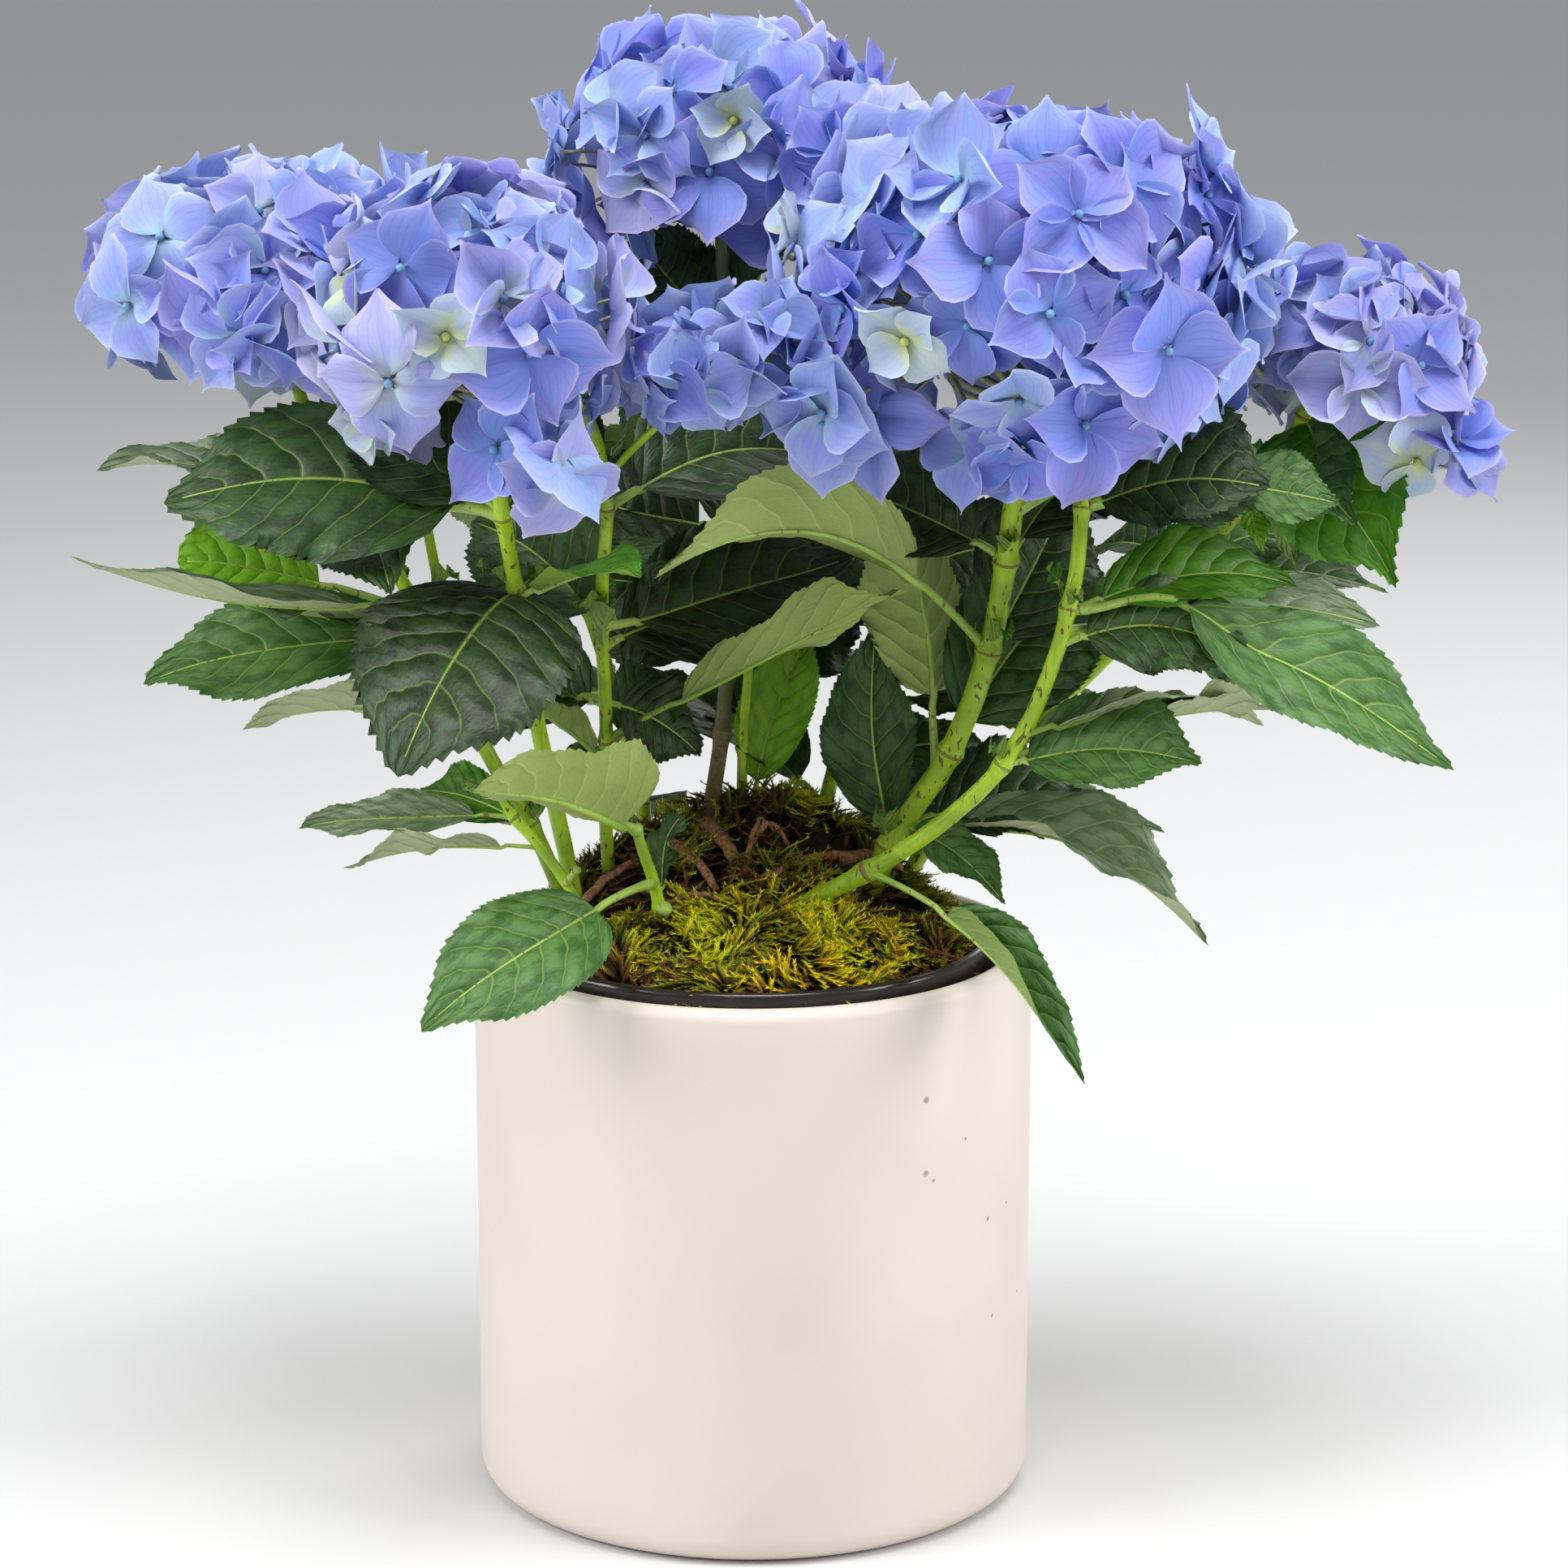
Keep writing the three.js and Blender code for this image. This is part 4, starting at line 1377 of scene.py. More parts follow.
LEAVES = [
    Leaf("left_top", "stem_left", 174, -46, Tint.DEEP, 0.14, 6, -0.1, 0.15, -0.03, wave=1.0, width=64,
         base=0.5, point=0.66, arch=6, aim=(344, 3, 112)),
    Leaf("far_left", "stem_far_left", 170, -4, Tint.GREY_SHEEN, 0.2, 40, curl=-0.1, twist=-70, wave=1.8,
         width=14, drop=17, arch=-4),
    Leaf("far_left", "stem_far_left", -151, -8, Tint.GREY_SHEEN, 0.2, 25, curl=-0.2, twist=36, width=22, drop=7,
         arch=-2),
    Leaf("left_middle", "stem_far_left", -167, -46, Tint.BRIGHT, 0.42, 14, width=36, arch=6, point=0.5,
         drawn=0.2, aim=(300, 17, 84)),
    Leaf("left_middle", "stem_far_left", -174, -42, Tint.MID, 0.12, 12, 0.05, 0.1, wave=0.9, width=44,
         arch=8, point=0.74, aim=(292, -6, 98)),
    Leaf("left_middle", "stem_far_left", 158, -5, Tint.FRESH, 0.2, 14),
    Leaf("left_round", "stem_left", -138, -8, Tint.DARK, 0.03, 5, -0.1, 0.1, 0.02, wave=0.6, base=0.46,
         point=0.68, width=94, arch=10, drawn=0.3, aim=(318, -46, 74)),
    Leaf("left_inner", "stem_left", -55, 10, Tint.FRESH, width=26),
    Leaf("front_left_pale", "shoot_front_left", -136, 26, Tint.PALE, 0.1, 14, 0.2, wave=1.4, point=0.6,
         width=56, drop=8, base=0.36),
    Leaf("front_left_low", "shoot_front_left", -127, -38, Tint.MID, 0.3, 10, -0.1, 0.3, wave=0.5,
         base=0.5, point=0.66),
    Leaf("low_left", "shoot_low_left", 174, -46, Tint.GREY_SHEEN, 0.18, 20, width=17, arch=4, wave=1.2,
         aim=(236, -3, 74)),
    Leaf("low_left", "shoot_low_left", -178, 34, Tint.GREY_SHEEN, 0.2, 20, width=14, arch=2, wave=1.2,
         aim=(226, -3, 66)),
    Leaf("low_left_back", "stem_far_left", 165, -15, Tint.MID, 0.15, 14, width=26, reach=0.55, drop=8),
    Leaf("centre_arching", "stem_right_thick", -148, 48, Tint.PALE, 0.24, 42, -0.05, 0.2, width=44,
         drawn=0.6, arch=20),
    Leaf("centre_rising", "stem_centre", -24, -48, Tint.PALE, 0.24, 42, wave=1.8, curl=0.1, width=25,
         arch=4, aim=(258, 30, 126)),
    Leaf("centre_bright", "shoot_centre", 24, 62, Tint.BRIGHT, 0.28, 10, width=25, arch=1,
         aim=(213, 72, 80)),
    Leaf("centre_dark", "stem_right_thick", 150, -84, Tint.DEEP, 0.12, 8, width=34, arch=1, wave=1.4,
         aim=(220, 84, 74)),
    Leaf("centre_back", "stem_centre", 34, 45, Tint.DARK, width=50),
    Leaf("under_blooms", "stem_centre", 42, 40, Tint.DARK, width=54, reach=1.12),
    Leaf("centre_upright", "stem_right_thick", 139, 164, Tint.PALE, 0.26, width=40, arch=2,
         aim=(246, 78, 97)),
    Leaf("right_long", "stem_right_slender", -9, 42, Tint.MID, 0.3, 12, -0.05, 0.1, wave=1.0, width=42,
         arch=6, hook=9, point=0.86, drop=-3),
    Leaf("right_under_bloom", "stem_right_slender", -16, 36, Tint.DARK, 0.1, width=58),
    Leaf("right_top", "stem_far_right", -54, 46, Tint.FRESH, 0.05, 14, width=50, arch=8, base=0.46,
         point=0.72, drawn=0.7, swerve=-0.08, aim=(364, -47, 69)),
    Leaf("right_top", "stem_right_slender", 7, 56, Tint.MID, 0.56, 12, width=26, arch=3, drawn=0.5,
         aim=(345, 1, 86)),
    Leaf("right_far_back", "stem_right_slender", 15, 34, Tint.GREY_SHEEN, 0.15, 14, wave=1.2, width=32, arch=5,
         aim=(303, 1, 112)),
    Leaf("right_back", "stem_right_slender", 34, 30, Tint.FRESH, width=44),
    Leaf("right_far_back", "stem_far_right", 6, 20, Tint.DEEP),
    Leaf("right_middle", "stem_right_slender", -14, 40, Tint.MID, 0.12, width=41, drop=-3),
    Leaf("right_inner", "stem_right_slender", 10, -30, Tint.GREY_SHEEN, 0.2, 24, wave=2.2, width=28, arch=4,
         twist=24, aim=(262, 11, 90)),
    Leaf("right_low", "stem_right_thick", -20, 14, Tint.GREY_SHEEN, 0.2, 30, curl=0.3, wave=1.6, width=36,
         drawn=0.5, arch=12),
    Leaf("right_low", "stem_right_thick", 14, 10, Tint.MID, 0.2, 18, width=36),
    Leaf("rim_right", "stem_right_slender", -47, 2, Tint.MID, 0.34, 74, curl=-0.1, width=26,
         twist=20, point=0.9),
    Leaf("back_left_high", "stem_back_left", 150, 22, Tint.DEEP),
    Leaf("back_left_high", "stem_back_left", 112, -5, Tint.DEEP),
    Leaf("back_left_low", "stem_back_left", 158, 15, Tint.DARK),
    Leaf("back_left_low", "stem_back_left", 120, 5, Tint.MID),
    Leaf("back_centre", "stem_woody", 98, 12, Tint.DEEP),
    Leaf("back_centre_low", "stem_woody", 92, -8, Tint.DARK),
    Leaf("back_right_high", "stem_back_right", 24, -20, Tint.DEEP),
    Leaf("back_right_high", "stem_back_right", 64, 5, Tint.MID),
    Leaf("back_right_low", "stem_back_right", 30, -15, Tint.DARK),
    Leaf("back_right_low", "stem_back_right", 68, -5, Tint.DEEP),
]

SPRIGS = [
    Sprig("stem_far_left", 334, 172, 11, 92, 22, -16, Tint.GREY_SHEEN),
    Sprig("stem_far_left", 262, -176, 5, 78, 24, 36, Tint.GREY_SHEEN),
    Sprig("stem_centre", 250, -150, 36, 44, 24, 20, Tint.PALE),
    Sprig("stem_left", 350, 55, 20, 60, 46, 45),
    Sprig("stem_left", 345, 150, 22, 66, 44, -45),
    Sprig("stem_centre", 345, 143, 14, 68, 48, -50),
    Sprig("stem_centre", 300, 135, 24, 72, 50, -45, Tint.DEEP),
    Sprig("stem_back_left", 290, -150, -6, 56, 44, -30),
    Sprig("stem_back_left", 255, 150, 10, 70, 46, -35, Tint.DEEP),
    Sprig("stem_woody", 292, -165, 12, 62, 46, -55),
    Sprig("stem_woody", 288, 12, 16, 66, 48, 50),
    Sprig("stem_woody", 318, 165, 10, 60, 50, -50),
    Sprig("stem_woody", 330, 0, 14, 70, 52, 45),
    Sprig("stem_centre", 292, 52, 3, 84, 44, 55),
    Sprig("stem_right_thick", 254, 26, 44, 82, 54, 62, Tint.DEEP),
    Sprig("stem_right_thick", 284, 46, 50, 72, 44, 55),
    Sprig("stem_right_thick", 322, 30, 26, 56, 40, 50),
    Sprig("stem_right_thick", 322, 170, 24, 58, 44, -50),
    Sprig("stem_centre", 288, -78, 50, 34, 8, 14, Tint.MID),
    Sprig("stem_centre", 252, 24, 44, 40, 30, 40, Tint.DEEP),
    Sprig("stem_right_slender", 301, -8, -2, 62, 36, 50, Tint.DEEP),
    Sprig("stem_right_slender", 270, 22, 2, 88, 30, -18, Tint.GREY_SHEEN),
    Sprig("stem_right_slender", 311, 14, 6, 80, 32, 38, Tint.FRESH),
    Sprig("stem_far_right", 337, -70, -60, 22, 9, 10, Tint.BRIGHT),
    Sprig("stem_far_right", 336, -34, -50, 30, 9, 20, Tint.PALE),
    Sprig("stem_right_thick", 228, -44, -20, 50, 20, 30, Tint.MID),
    Sprig("stem_centre", 272, 8, -30, 38, 30, 60),
    Sprig("shoot_front_left", 207, -20, 80, 34, 14, 60, Tint.DEEP),
    Sprig("stem_woody", 268, 32, 14, 58, 44, 58),
    Sprig("stem_woody", 275, 172, 8, 48, 38, -40),
    Sprig("stem_woody", 384, 172, 48, 48, 40, -52),
    Sprig("stem_woody", 388, -20, 56, 36, 32, 46, Tint.DEEP),
    Sprig("stem_woody", 374, -176, 36, 44, 22, -50, Tint.FRESH),
    Sprig("stem_right_thick", 226, 6, 8, 66, 44, 34),
    Sprig("stem_back_right", 216, -5, 10, 88, 46, 30, Tint.DEEP),
    Sprig("stem_right_slender", 345, 20, 10, 66, 52, 42),
    Sprig("stem_far_right", 332, -58, 6, 58, 36, 34, Tint.MID),
    Sprig("stem_far_right", 300, 10, 22, 54, 36, 36, Tint.MID),
    Sprig("stem_far_right", 285, -30, -6, 66, 42, 30, Tint.DEEP),
    Sprig("stem_back_right", 268, 6, 12, 78, 50, 42, Tint.DEEP),
    Sprig("stem_back_right", 300, -20, 4, 70, 48, 44),
    Sprig("stem_back_right", 235, 20, 6, 62, 40, 30),
    Sprig("shoot_low_left", 236, 150, 8, 40, 22, -50, Tint.FRESH),
]


# ---- flower heads ----


@dataclass(frozen=True)
class SepalSkin:
    """Both sides of a floret's sepal: its heart, middle and rim, its veins and its glow. The rim and the
    whitish edge are partly the sepal's own paler margin and partly painted highlight.
    """

    name: str
    heart: Color
    middle: Color
    rim: Color
    vein: Color
    under: Color
    through: Color
    other: Color
    share: float = 0.18

    BANDS = 4
    WHITE: Color = 0xFFFFFF
    RELIEF = 0.3 * MM
    SPECULAR = 0.35

    def shader(self) -> Shader:
        """The material. It reads only the sepal's own map."""
        made = Shader(self.name, self.middle, 0.55)
        lower, s, t, band = made.blade(self.BANDS)
        out = abs(s)
        where = made.point(s, t + band * 9)
        tone = made.noise(where, 1.6, 2, 0.55, "2D")
        body = made.mix(self.middle, self.other, (tone * 1.6 + band * 0.7).eased(0.6, 1.5))
        face = made.mix(self.heart, body, (t + tone * 0.4).eased(0.15, 0.7))
        # Lighter towards the tip and sides: partly the sepal's own paler rim, partly painted highlight.
        face = made.mix(face, self.rim, (t * 0.75 + out * 0.4 + tone * 0.35).eased(0.6, 1.35))
        fan = (out * (5.5 - 2.0 * t) + tone * 0.6).fraction()
        lines = (1 - (abs(fan - 0.5) * 2).eased(0.0, 0.24)) * t.eased(0.08, 0.3)
        lines = lines * (1 - out.eased(0.75, 0.97))
        fine = made.noise(made.stretched(where, (9, 1.4, 1)), 9, 1, 0.55, "2D")
        veins = (lines * 0.3 + fine.eased(0.45, 0.8) * 0.2) * (1 - t.eased(0.85, 1.0))
        face = made.mix(face, self.vein, veins)
        # A whitish edge on the upper side: partly the sepal's own pale margin, partly a painted highlight
        # along it.
        edge = out.most(t).eased(0.88, 1.0)
        pale = made.mix(self.rim, self.WHITE, 0.55)
        face = made.mix(face, pale, edge * 0.5)
        back = made.mix(self.under, self.other, band * 0.3)
        back = made.mix(back, self.vein, veins * 0.8 + tone.eased(0.5, 0.9) * 0.15)
        # The same whitish edge on the underside, partly painted highlight.
        back = made.mix(back, pale, edge * 0.6)
        made.feed("Base Color", made.mix(face, back, lower))
        made.relief(fine, self.RELIEF, 0.5)
        made.plain("Specular IOR Level", self.SPECULAR)
        made.glow_through(self.through, self.share)
        return made


class Hue(Enum):
    """The finishes that sepals come in."""

    BLUE = SepalSkin("sepal blue", 0x84ACF2, 0x90A7F5, 0xB8C6FB, 0x5A6CD4, 0xACBBF9, 0x849CF8, 0x9496EE)
    SKY = SepalSkin("sepal sky", 0xBCDEF0, 0xA8C4FA, 0xCCD8FD, 0x6C8CE0, 0xC2D5FB, 0x9ABCFA, 0xA4AEF8)
    VIOLET = SepalSkin("sepal violet", 0x8AA0F4, 0xA2A4F3, 0xC2BEFA, 0x726AD4, 0xC0BFF8, 0xA09AF8, 0x8CA6F6)
    LILAC = SepalSkin("sepal lilac", 0xD0E2DE, 0xC0C6F9, 0xD6CEFB, 0x8A86DD, 0xD8D8FB, 0xC0BAFA, 0xACB8F8)
    PALE = SepalSkin("sepal pale", 0xE0ECA6, 0xD8E8DE, 0xCEDCFA, 0xA0BCCE, 0xDEE9E9, 0xCEE6CE, 0xC4D4FA)


@dataclass(frozen=True)
class BeadSkin:
    """The small closed bead in a floret's middle."""

    name: str
    low: Color
    high: Color

    def shader(self) -> Shader:
        """The material, darker round its foot."""
        made = Shader(self.name, self.high, 0.4)
        _, along = made.sheet()
        made.feed("Base Color", made.mix(self.low, self.high, along.eased(0.35, 0.75)))
        made.feed("Roughness", 0.35 + made.noise(made.place(), 900, 2) * 0.2)
        return made


@dataclass
class Floret:
    """One floret: its middle, the way it faces, its size and its nature."""

    middle: Array
    facing: Array
    size: float
    hue: Hue
    openness: float


@dataclass
class SepalShape:
    """How a floret's sepals are cut and bent.

    Folded is the steepness of the two halves and wheel the turn about the midline, in degrees.
    """

    folded: float
    point: float
    drawn: float
    base: float
    wheel: float
    lip: float


@dataclass
class Spill:
    """Florets that close the gap between a head and its neighbour.

    The middle is off the head's own middle, in millimetres, and so is the radius.
    """

    off: Triple
    radius: float
    count: int


@dataclass
class Feature:
    """A floret with a place of its own in a head.

    Its bearing, in degrees, and its level, the sine of its height, are seen from the head's middle, and its
    size is in millimetres.
    """

    bearing: float
    level: float
    size: float
    hue: Hue
    openness: float


@dataclass
class Bloom:
    """One flower head over its CAD node, and the stems that carry it.

    Shares are those of the hues in their order. Sizes are in metres. Each gap is a direction in which the
    head stays open, and the cosine of half the opening's angle.
    """

    node: str
    stems: tuple[str, ...]
    count: int
    shares: tuple[float, ...]
    size: float = 20.5 * MM
    lowest: float = -0.6
    inset: float = 6 * MM
    crown: float = 5 * MM
    young: float = 0.08
    gaps: tuple[tuple[float, float, float, float], ...] = ()
    spills: tuple[Spill, ...] = ()
    features: tuple[Feature, ...] = ()


BLOOMS = [
    Bloom("bloom_front_right", ("stem_right_thick", "stem_right_slender"), 132,
          (0.42, 0.24, 0.20, 0.11, 0.03), 23 * MM, crown=9 * MM, gaps=((-0.42, -0.72, -0.56, 0.94),),
          spills=(Spill((-60, -20, -34), 16, 5),),
          features=(Feature(-75, 0.47, 25, Hue.VIOLET, 8), Feature(-105, 0.24, 25, Hue.VIOLET, 16),
                    Feature(-124, -0.14, 16, Hue.PALE, 20), Feature(-52, -0.20, 26, Hue.VIOLET, 18),
                    Feature(-86, -0.02, 22, Hue.BLUE, 10), Feature(-119, 0.62, 22, Hue.SKY, 12),
                    Feature(-161, -0.61, 27, Hue.VIOLET, 12), Feature(-122, -0.84, 20, Hue.SKY, 6),
                    Feature(-92, -0.84, 22, Hue.BLUE, 16), Feature(-70, -0.62, 25, Hue.VIOLET, 16))),
    Bloom("bloom_left", ("stem_left", "stem_centre"), 70, (0.12, 0.22, 0.20, 0.28, 0.18), 22 * MM,
          young=0.16, gaps=((0.0, -0.95, -0.36, 0.86),),
          spills=(Spill((-64, 30, 4), 26, 14), Spill((14, -26, -38), 15, 6)),
          features=(Feature(-126, -0.25, 24, Hue.LILAC, 4), Feature(-66, -0.09, 25, Hue.VIOLET, 8),
                    Feature(-128, 0.5, 23, Hue.VIOLET, 14), Feature(-79, 0.34, 23, Hue.LILAC, 18),
                    Feature(-103, 0.06, 18, Hue.PALE, 20), Feature(-82, -0.76, 22, Hue.BLUE, 6))),
    Bloom("bloom_far_left", ("stem_far_left", "bough_far_left"), 52, (0.16, 0.48, 0.08, 0.24, 0.04),
          20 * MM, inset=11 * MM,
          spills=(Spill((40, 14, 13), 20, 8),),
          features=(Feature(-93, -0.21, 24, Hue.BLUE, 8), Feature(-127, -0.18, 20, Hue.SKY, 8),
                    Feature(-61, -0.55, 21, Hue.PALE, 8))),
    Bloom("bloom_rear_top", ("stem_woody",), 68, (0.32, 0.24, 0.18, 0.22, 0.04), 21.5 * MM, inset=9 * MM,
          crown=15 * MM,
          spills=(Spill((44, -40, -10), 26, 9),),
          features=(Feature(-97, -0.20, 26, Hue.VIOLET, 8), Feature(-87, 0.16, 16, Hue.PALE, 24))),
    Bloom("bloom_far_right", ("stem_far_right",), 54, (0.08, 0.30, 0.06, 0.40, 0.16), 20 * MM,
          inset=10 * MM, crown=9 * MM, young=0.14, gaps=((-0.6, -0.6, -0.55, 0.66),),
          spills=(Spill((-46, -8, 14), 18, 6), Spill((31, -14, -32), 11, 4)),
          features=(Feature(-49, -0.67, 20, Hue.PALE, -8),)),
    Bloom("bloom_small", ("bough_small_bloom",), 13, (0.40, 0.44, 0.0, 0.10, 0.06), 18 * MM,
          spills=(Spill((22, 6, 6), 16, 5),)),
    Bloom("bloom_back_right", ("stem_back_right",), 52, (0.36, 0.24, 0.22, 0.12, 0.06)),
    Bloom("bloom_back_left", ("stem_back_left",), 40, (0.30, 0.26, 0.22, 0.16, 0.06), 19 * MM),
]


class Flowers:
    """All florets, their beads and the branching stalks that carry them."""

    SEED = 7
    THICK = 0.28 * MM
    BEAD = 1.55 * MM
    NO_SURFACE = 40 * MM
    FEATURE_INSET = 3 * MM
    DEEP_SHARE = 0.24
    DEEP = (8, 16)
    SHALLOW = (-3, 4)
    YOUNG_SIZE = 0.68
    YOUNG_OPENNESS = (26, 44)
    OPENNESS = (-6, 22)
    CLEARANCE = 0.7
    FLATTENED = np.array([1, 1, 0.7])
    BRANCH = (1.7 * MM, 1.1 * MM)
    TWIG = (0.8 * MM, 0.6 * MM)

    def __init__(self, spines: dict[str, Spine]) -> None:
        """Sets up the sepal's grid and the pieces that florets are joined into.

        Args:
            spines: The stems' middle lines by name.
        """
        across = np.array([0.42, 0.8, 1.0])
        self.sheet = Sheet(np.array([0, 0.08, 0.2, 0.34, 0.48, 0.62, 0.75, 0.86, 0.95, 1.0]),
                           np.concatenate([-across[::-1], [0.0], across]))
        self.spines = spines
        self.rng = np.random.default_rng(self.SEED)
        self.sepals = {hue: Joined() for hue in Hue}
        self.beads = {"bead_green": Joined(), "bead_blue": Joined()}
        self.stalks = Joined()
        self.nodes: list[str] = []

    def add(self, bloom: Bloom) -> None:
        """Covers one CAD node with florets, and branches up to them.

        Args:
            bloom: The flower head.
        """
        tree = surface_of(bloom.node)
        low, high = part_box(bloom.node)
        heart = np.array((low + high) / 2)
        florets = [self._floret(bloom, tree, heart, i) for i in range(bloom.count)]
        for spill in bloom.spills:
            florets += [self._spilt(bloom, spill, heart, i) for i in range(spill.count)]
        for *away, least in bloom.gaps:
            way = unit(np.array(away))
            florets = [floret for floret in florets if unit(floret.middle - heart) @ way < least]
        for feature in bloom.features:
            grown = self._featured(feature, tree, heart)
            room = self.CLEARANCE * grown.size
            florets = [floret for floret in florets if np.linalg.norm(floret.middle - grown.middle) > room]
            florets.append(grown)
        for floret in florets:
            self._open(floret)
        self._branch([self.spines[name].line[-1] for name in bloom.stems], florets)
        self.nodes.append(bloom.node)

    def _reach(self, tree: BVHTree, heart: Array, way: Array) -> float:
        """How far the node's surface lies from its middle in a direction."""
        return tree.ray_cast(Vector(heart), Vector(way))[3] or self.NO_SURFACE

    def _floret(self, bloom: Bloom, tree: BVHTree, heart: Array, index: int) -> Floret:
        """Sets one floret of the even spread over the head.

        Args:
            bloom: The head.
            tree: The surface of its CAD node.
            heart: The node's middle.
            index: The floret's number.

        Returns:
            The floret.
        """
        rng = self.rng
        level = 1 - (index + 0.5) / bloom.count * (1 - bloom.lowest) + rng.normal(0, 0.02)
        level = float(np.clip(level, -1, 1))
        way = way_to(index * GOLDEN + rng.normal(0, 0.1), level)
        deep = rng.random() < self.DEEP_SHARE
        inset = bloom.inset + rng.uniform(*(self.DEEP if deep else self.SHALLOW)) * MM
        inset += bloom.crown * max(0.0, level) ** 2
        middle = heart + way * (self._reach(tree, heart, way) - inset)
        facing = unit(way * self.FLATTENED + rng.normal(0, 0.15, 3))
        hue = self._hue(bloom, middle)
        young = rng.random() < bloom.young
        size = bloom.size * rng.uniform(0.84, 1.14) * (self.YOUNG_SIZE if young else 1.0)
        if young:
            hue = Hue.PALE if rng.random() < 0.6 else Hue.SKY
        openness = rng.uniform(*(self.YOUNG_OPENNESS if young else self.OPENNESS))
        return Floret(middle, facing, size, hue, openness)

    def _spilt(self, bloom: Bloom, spill: Spill, heart: Array, index: int) -> Floret:
        """Sets one floret of those that close the gap to a neighbour.

        Args:
            bloom: The head.
            spill: The gap.
            heart: The middle of the head's CAD node.
            index: The floret's number.

        Returns:
            The floret.
        """
        rng = self.rng
        way = way_to(index * GOLDEN + 1.0, 0.9 - 1.5 * (index + 0.5) / spill.count)
        way[1] = -abs(way[1])
        middle = heart + np.array(spill.off) * MM + way * spill.radius * MM * rng.uniform(0.7, 1.0)
        facing = unit(way + np.array([0, -0.3, 0.1]) + rng.normal(0, 0.2, 3))
        size = bloom.size * rng.uniform(0.85, 1.08)
        return Floret(middle, facing, size, self._hue(bloom, middle), rng.uniform(-6, 26))

    def _featured(self, feature: Feature, tree: BVHTree, heart: Array) -> Floret:
        """Sets one floret with a place of its own.

        Args:
            feature: Its place and nature.
            tree: The surface of the head's CAD node.
            heart: The node's middle.

        Returns:
            The floret.
        """
        way = way_to(math.radians(feature.bearing), feature.level)
        middle = heart + way * (self._reach(tree, heart, way) - self.FEATURE_INSET)
        facing = unit(way * self.FLATTENED + np.array([0, -0.5, 0.05]) + self.rng.normal(0, 0.24, 3))
        return Floret(middle, facing, feature.size * MM, feature.hue, feature.openness)

    def _hue(self, bloom: Bloom, middle: Array) -> Hue:
        """Picks a hue by the head's shares, alike on neighbouring florets.

        Args:
            bloom: The head.
            middle: The floret's middle.

        Returns:
            The hue.
        """
        drift = 0.5 + 0.75 * noise.noise(Vector(middle * 26))
        pick = float(np.clip(0.55 * self.rng.random() + 0.45 * drift, 0, 0.999))
        return list(Hue)[int(np.searchsorted(np.cumsum(bloom.shares) / sum(bloom.shares), pick))]

    def _open(self, floret: Floret) -> None:
        """Adds the four sepals and the bead of a floret.

        Args:
            floret: The floret.
        """
        rng = self.rng
        east = unit(np.cross(floret.facing, np.array([0.3, 0.5, 0.81])))
        spin = rng.uniform(0, 360)
        folded = rng.uniform(4, 22) if rng.random() < 0.65 else rng.uniform(22, 42)
        shape = SepalShape(folded, rng.uniform(0.94, 1.34), rng.uniform(0.3, 0.6), rng.uniform(0.62, 0.86),
                           rng.choice([-1, 1]) * rng.uniform(3, 15), rng.normal(0.06, 0.2))
        broad = rng.uniform(0.95, 1.18)
        for quarter in range(4):
            way = turn(east, floret.facing, spin + 90 * quarter + rng.normal(0, 6))
            size = floret.size * rng.uniform(0.92, 1.1) * (1.06 if quarter % 2 else 0.96)
            width = size * broad * rng.uniform(0.92, 1.06)
            self._sepal(floret, shape, way, size, width, quarter % 2 * -0.7 * MM)
        bead = self.beads["bead_green" if floret.hue is Hue.PALE or rng.random() < 0.15 else "bead_blue"]
        foot = floret.middle + floret.facing * 0.4 * MM
        steps = np.linspace(-1, 1, 6)
        line = foot + floret.facing * self.BEAD * (steps[:, None] + 0.6)
        bead.add(*tube(line, self.BEAD * np.sqrt(np.maximum(1 - steps ** 2, 0.02)), 8))

    def _sepal(self, floret: Floret, shape: SepalShape, way: Array, size: float, width: float,
               drop: float) -> None:
        """Adds one sepal.

        Args:
            floret: The floret it belongs to.
            shape: How the floret's sepals are cut and bent.
            way: The direction it runs in, square to the way the floret faces.
            size: Its length.
            width: Its width.
            drop: How far it starts under the floret's plane.
        """
        rng = self.rng
        t, s = self.sheet.t, self.sheet.s
        out = np.abs(s)
        raised = math.radians(floret.openness + rng.normal(0, 8))
        curl = rng.normal(0.13, 0.17)
        steps = t[:, 0]
        ahead = size * (0.05 + steps) * math.cos(raised)
        rise = size * (steps * math.sin(raised) - curl * steps ** 2.4) + drop
        bend = size * rng.normal(0, 0.06) * steps ** 2
        side = unit(np.cross(floret.facing, way))
        line = floret.middle + way * ahead[:, None] + floret.facing * rise[:, None] + side * bend[:, None]
        frame_at = carried(line, side[None], shape.wheel + rng.normal(0, 18) * (steps - 0.3))
        point = shape.point * rng.uniform(0.88, 1.12)
        half = width / 2 * outline(t, shape.base, point, shape.drawn, (0.6, 0.92))
        half = np.maximum(half * (1 + 0.04 * np.sin(9 * t + rng.uniform(0, 6))), 0.2 * MM)
        fold = np.radians(shape.folded * rng.uniform(0.6, 1.3)) * (0.55 + 0.45 * np.cos(2.2 * t))
        reach = out * half
        frill = 0.8 * MM * out ** 2 * np.sin(7 * t + rng.uniform(0, 6) + np.sign(s) * 1.3)
        lift = reach * np.sin(fold) + (rng.normal(0.04, 0.12) * s ** 2 + shape.lip * out ** 5) * half + frill
        lift = lift - 0.25 * MM * np.exp(-(s * 4) ** 2) * np.sin(math.pi * t)
        thick = self.THICK * (1 - smooth_step(0.86, 1.0, out)) * (1 - smooth_step(0.93, 1, t))
        points = self.sheet.formed(line, frame_at, np.sign(s) * reach * np.cos(fold), lift, thick)
        map_points = self.sheet.banded(rng.integers(SepalSkin.BANDS))
        self.sepals[floret.hue].add(points, self.sheet.faces, map_points)

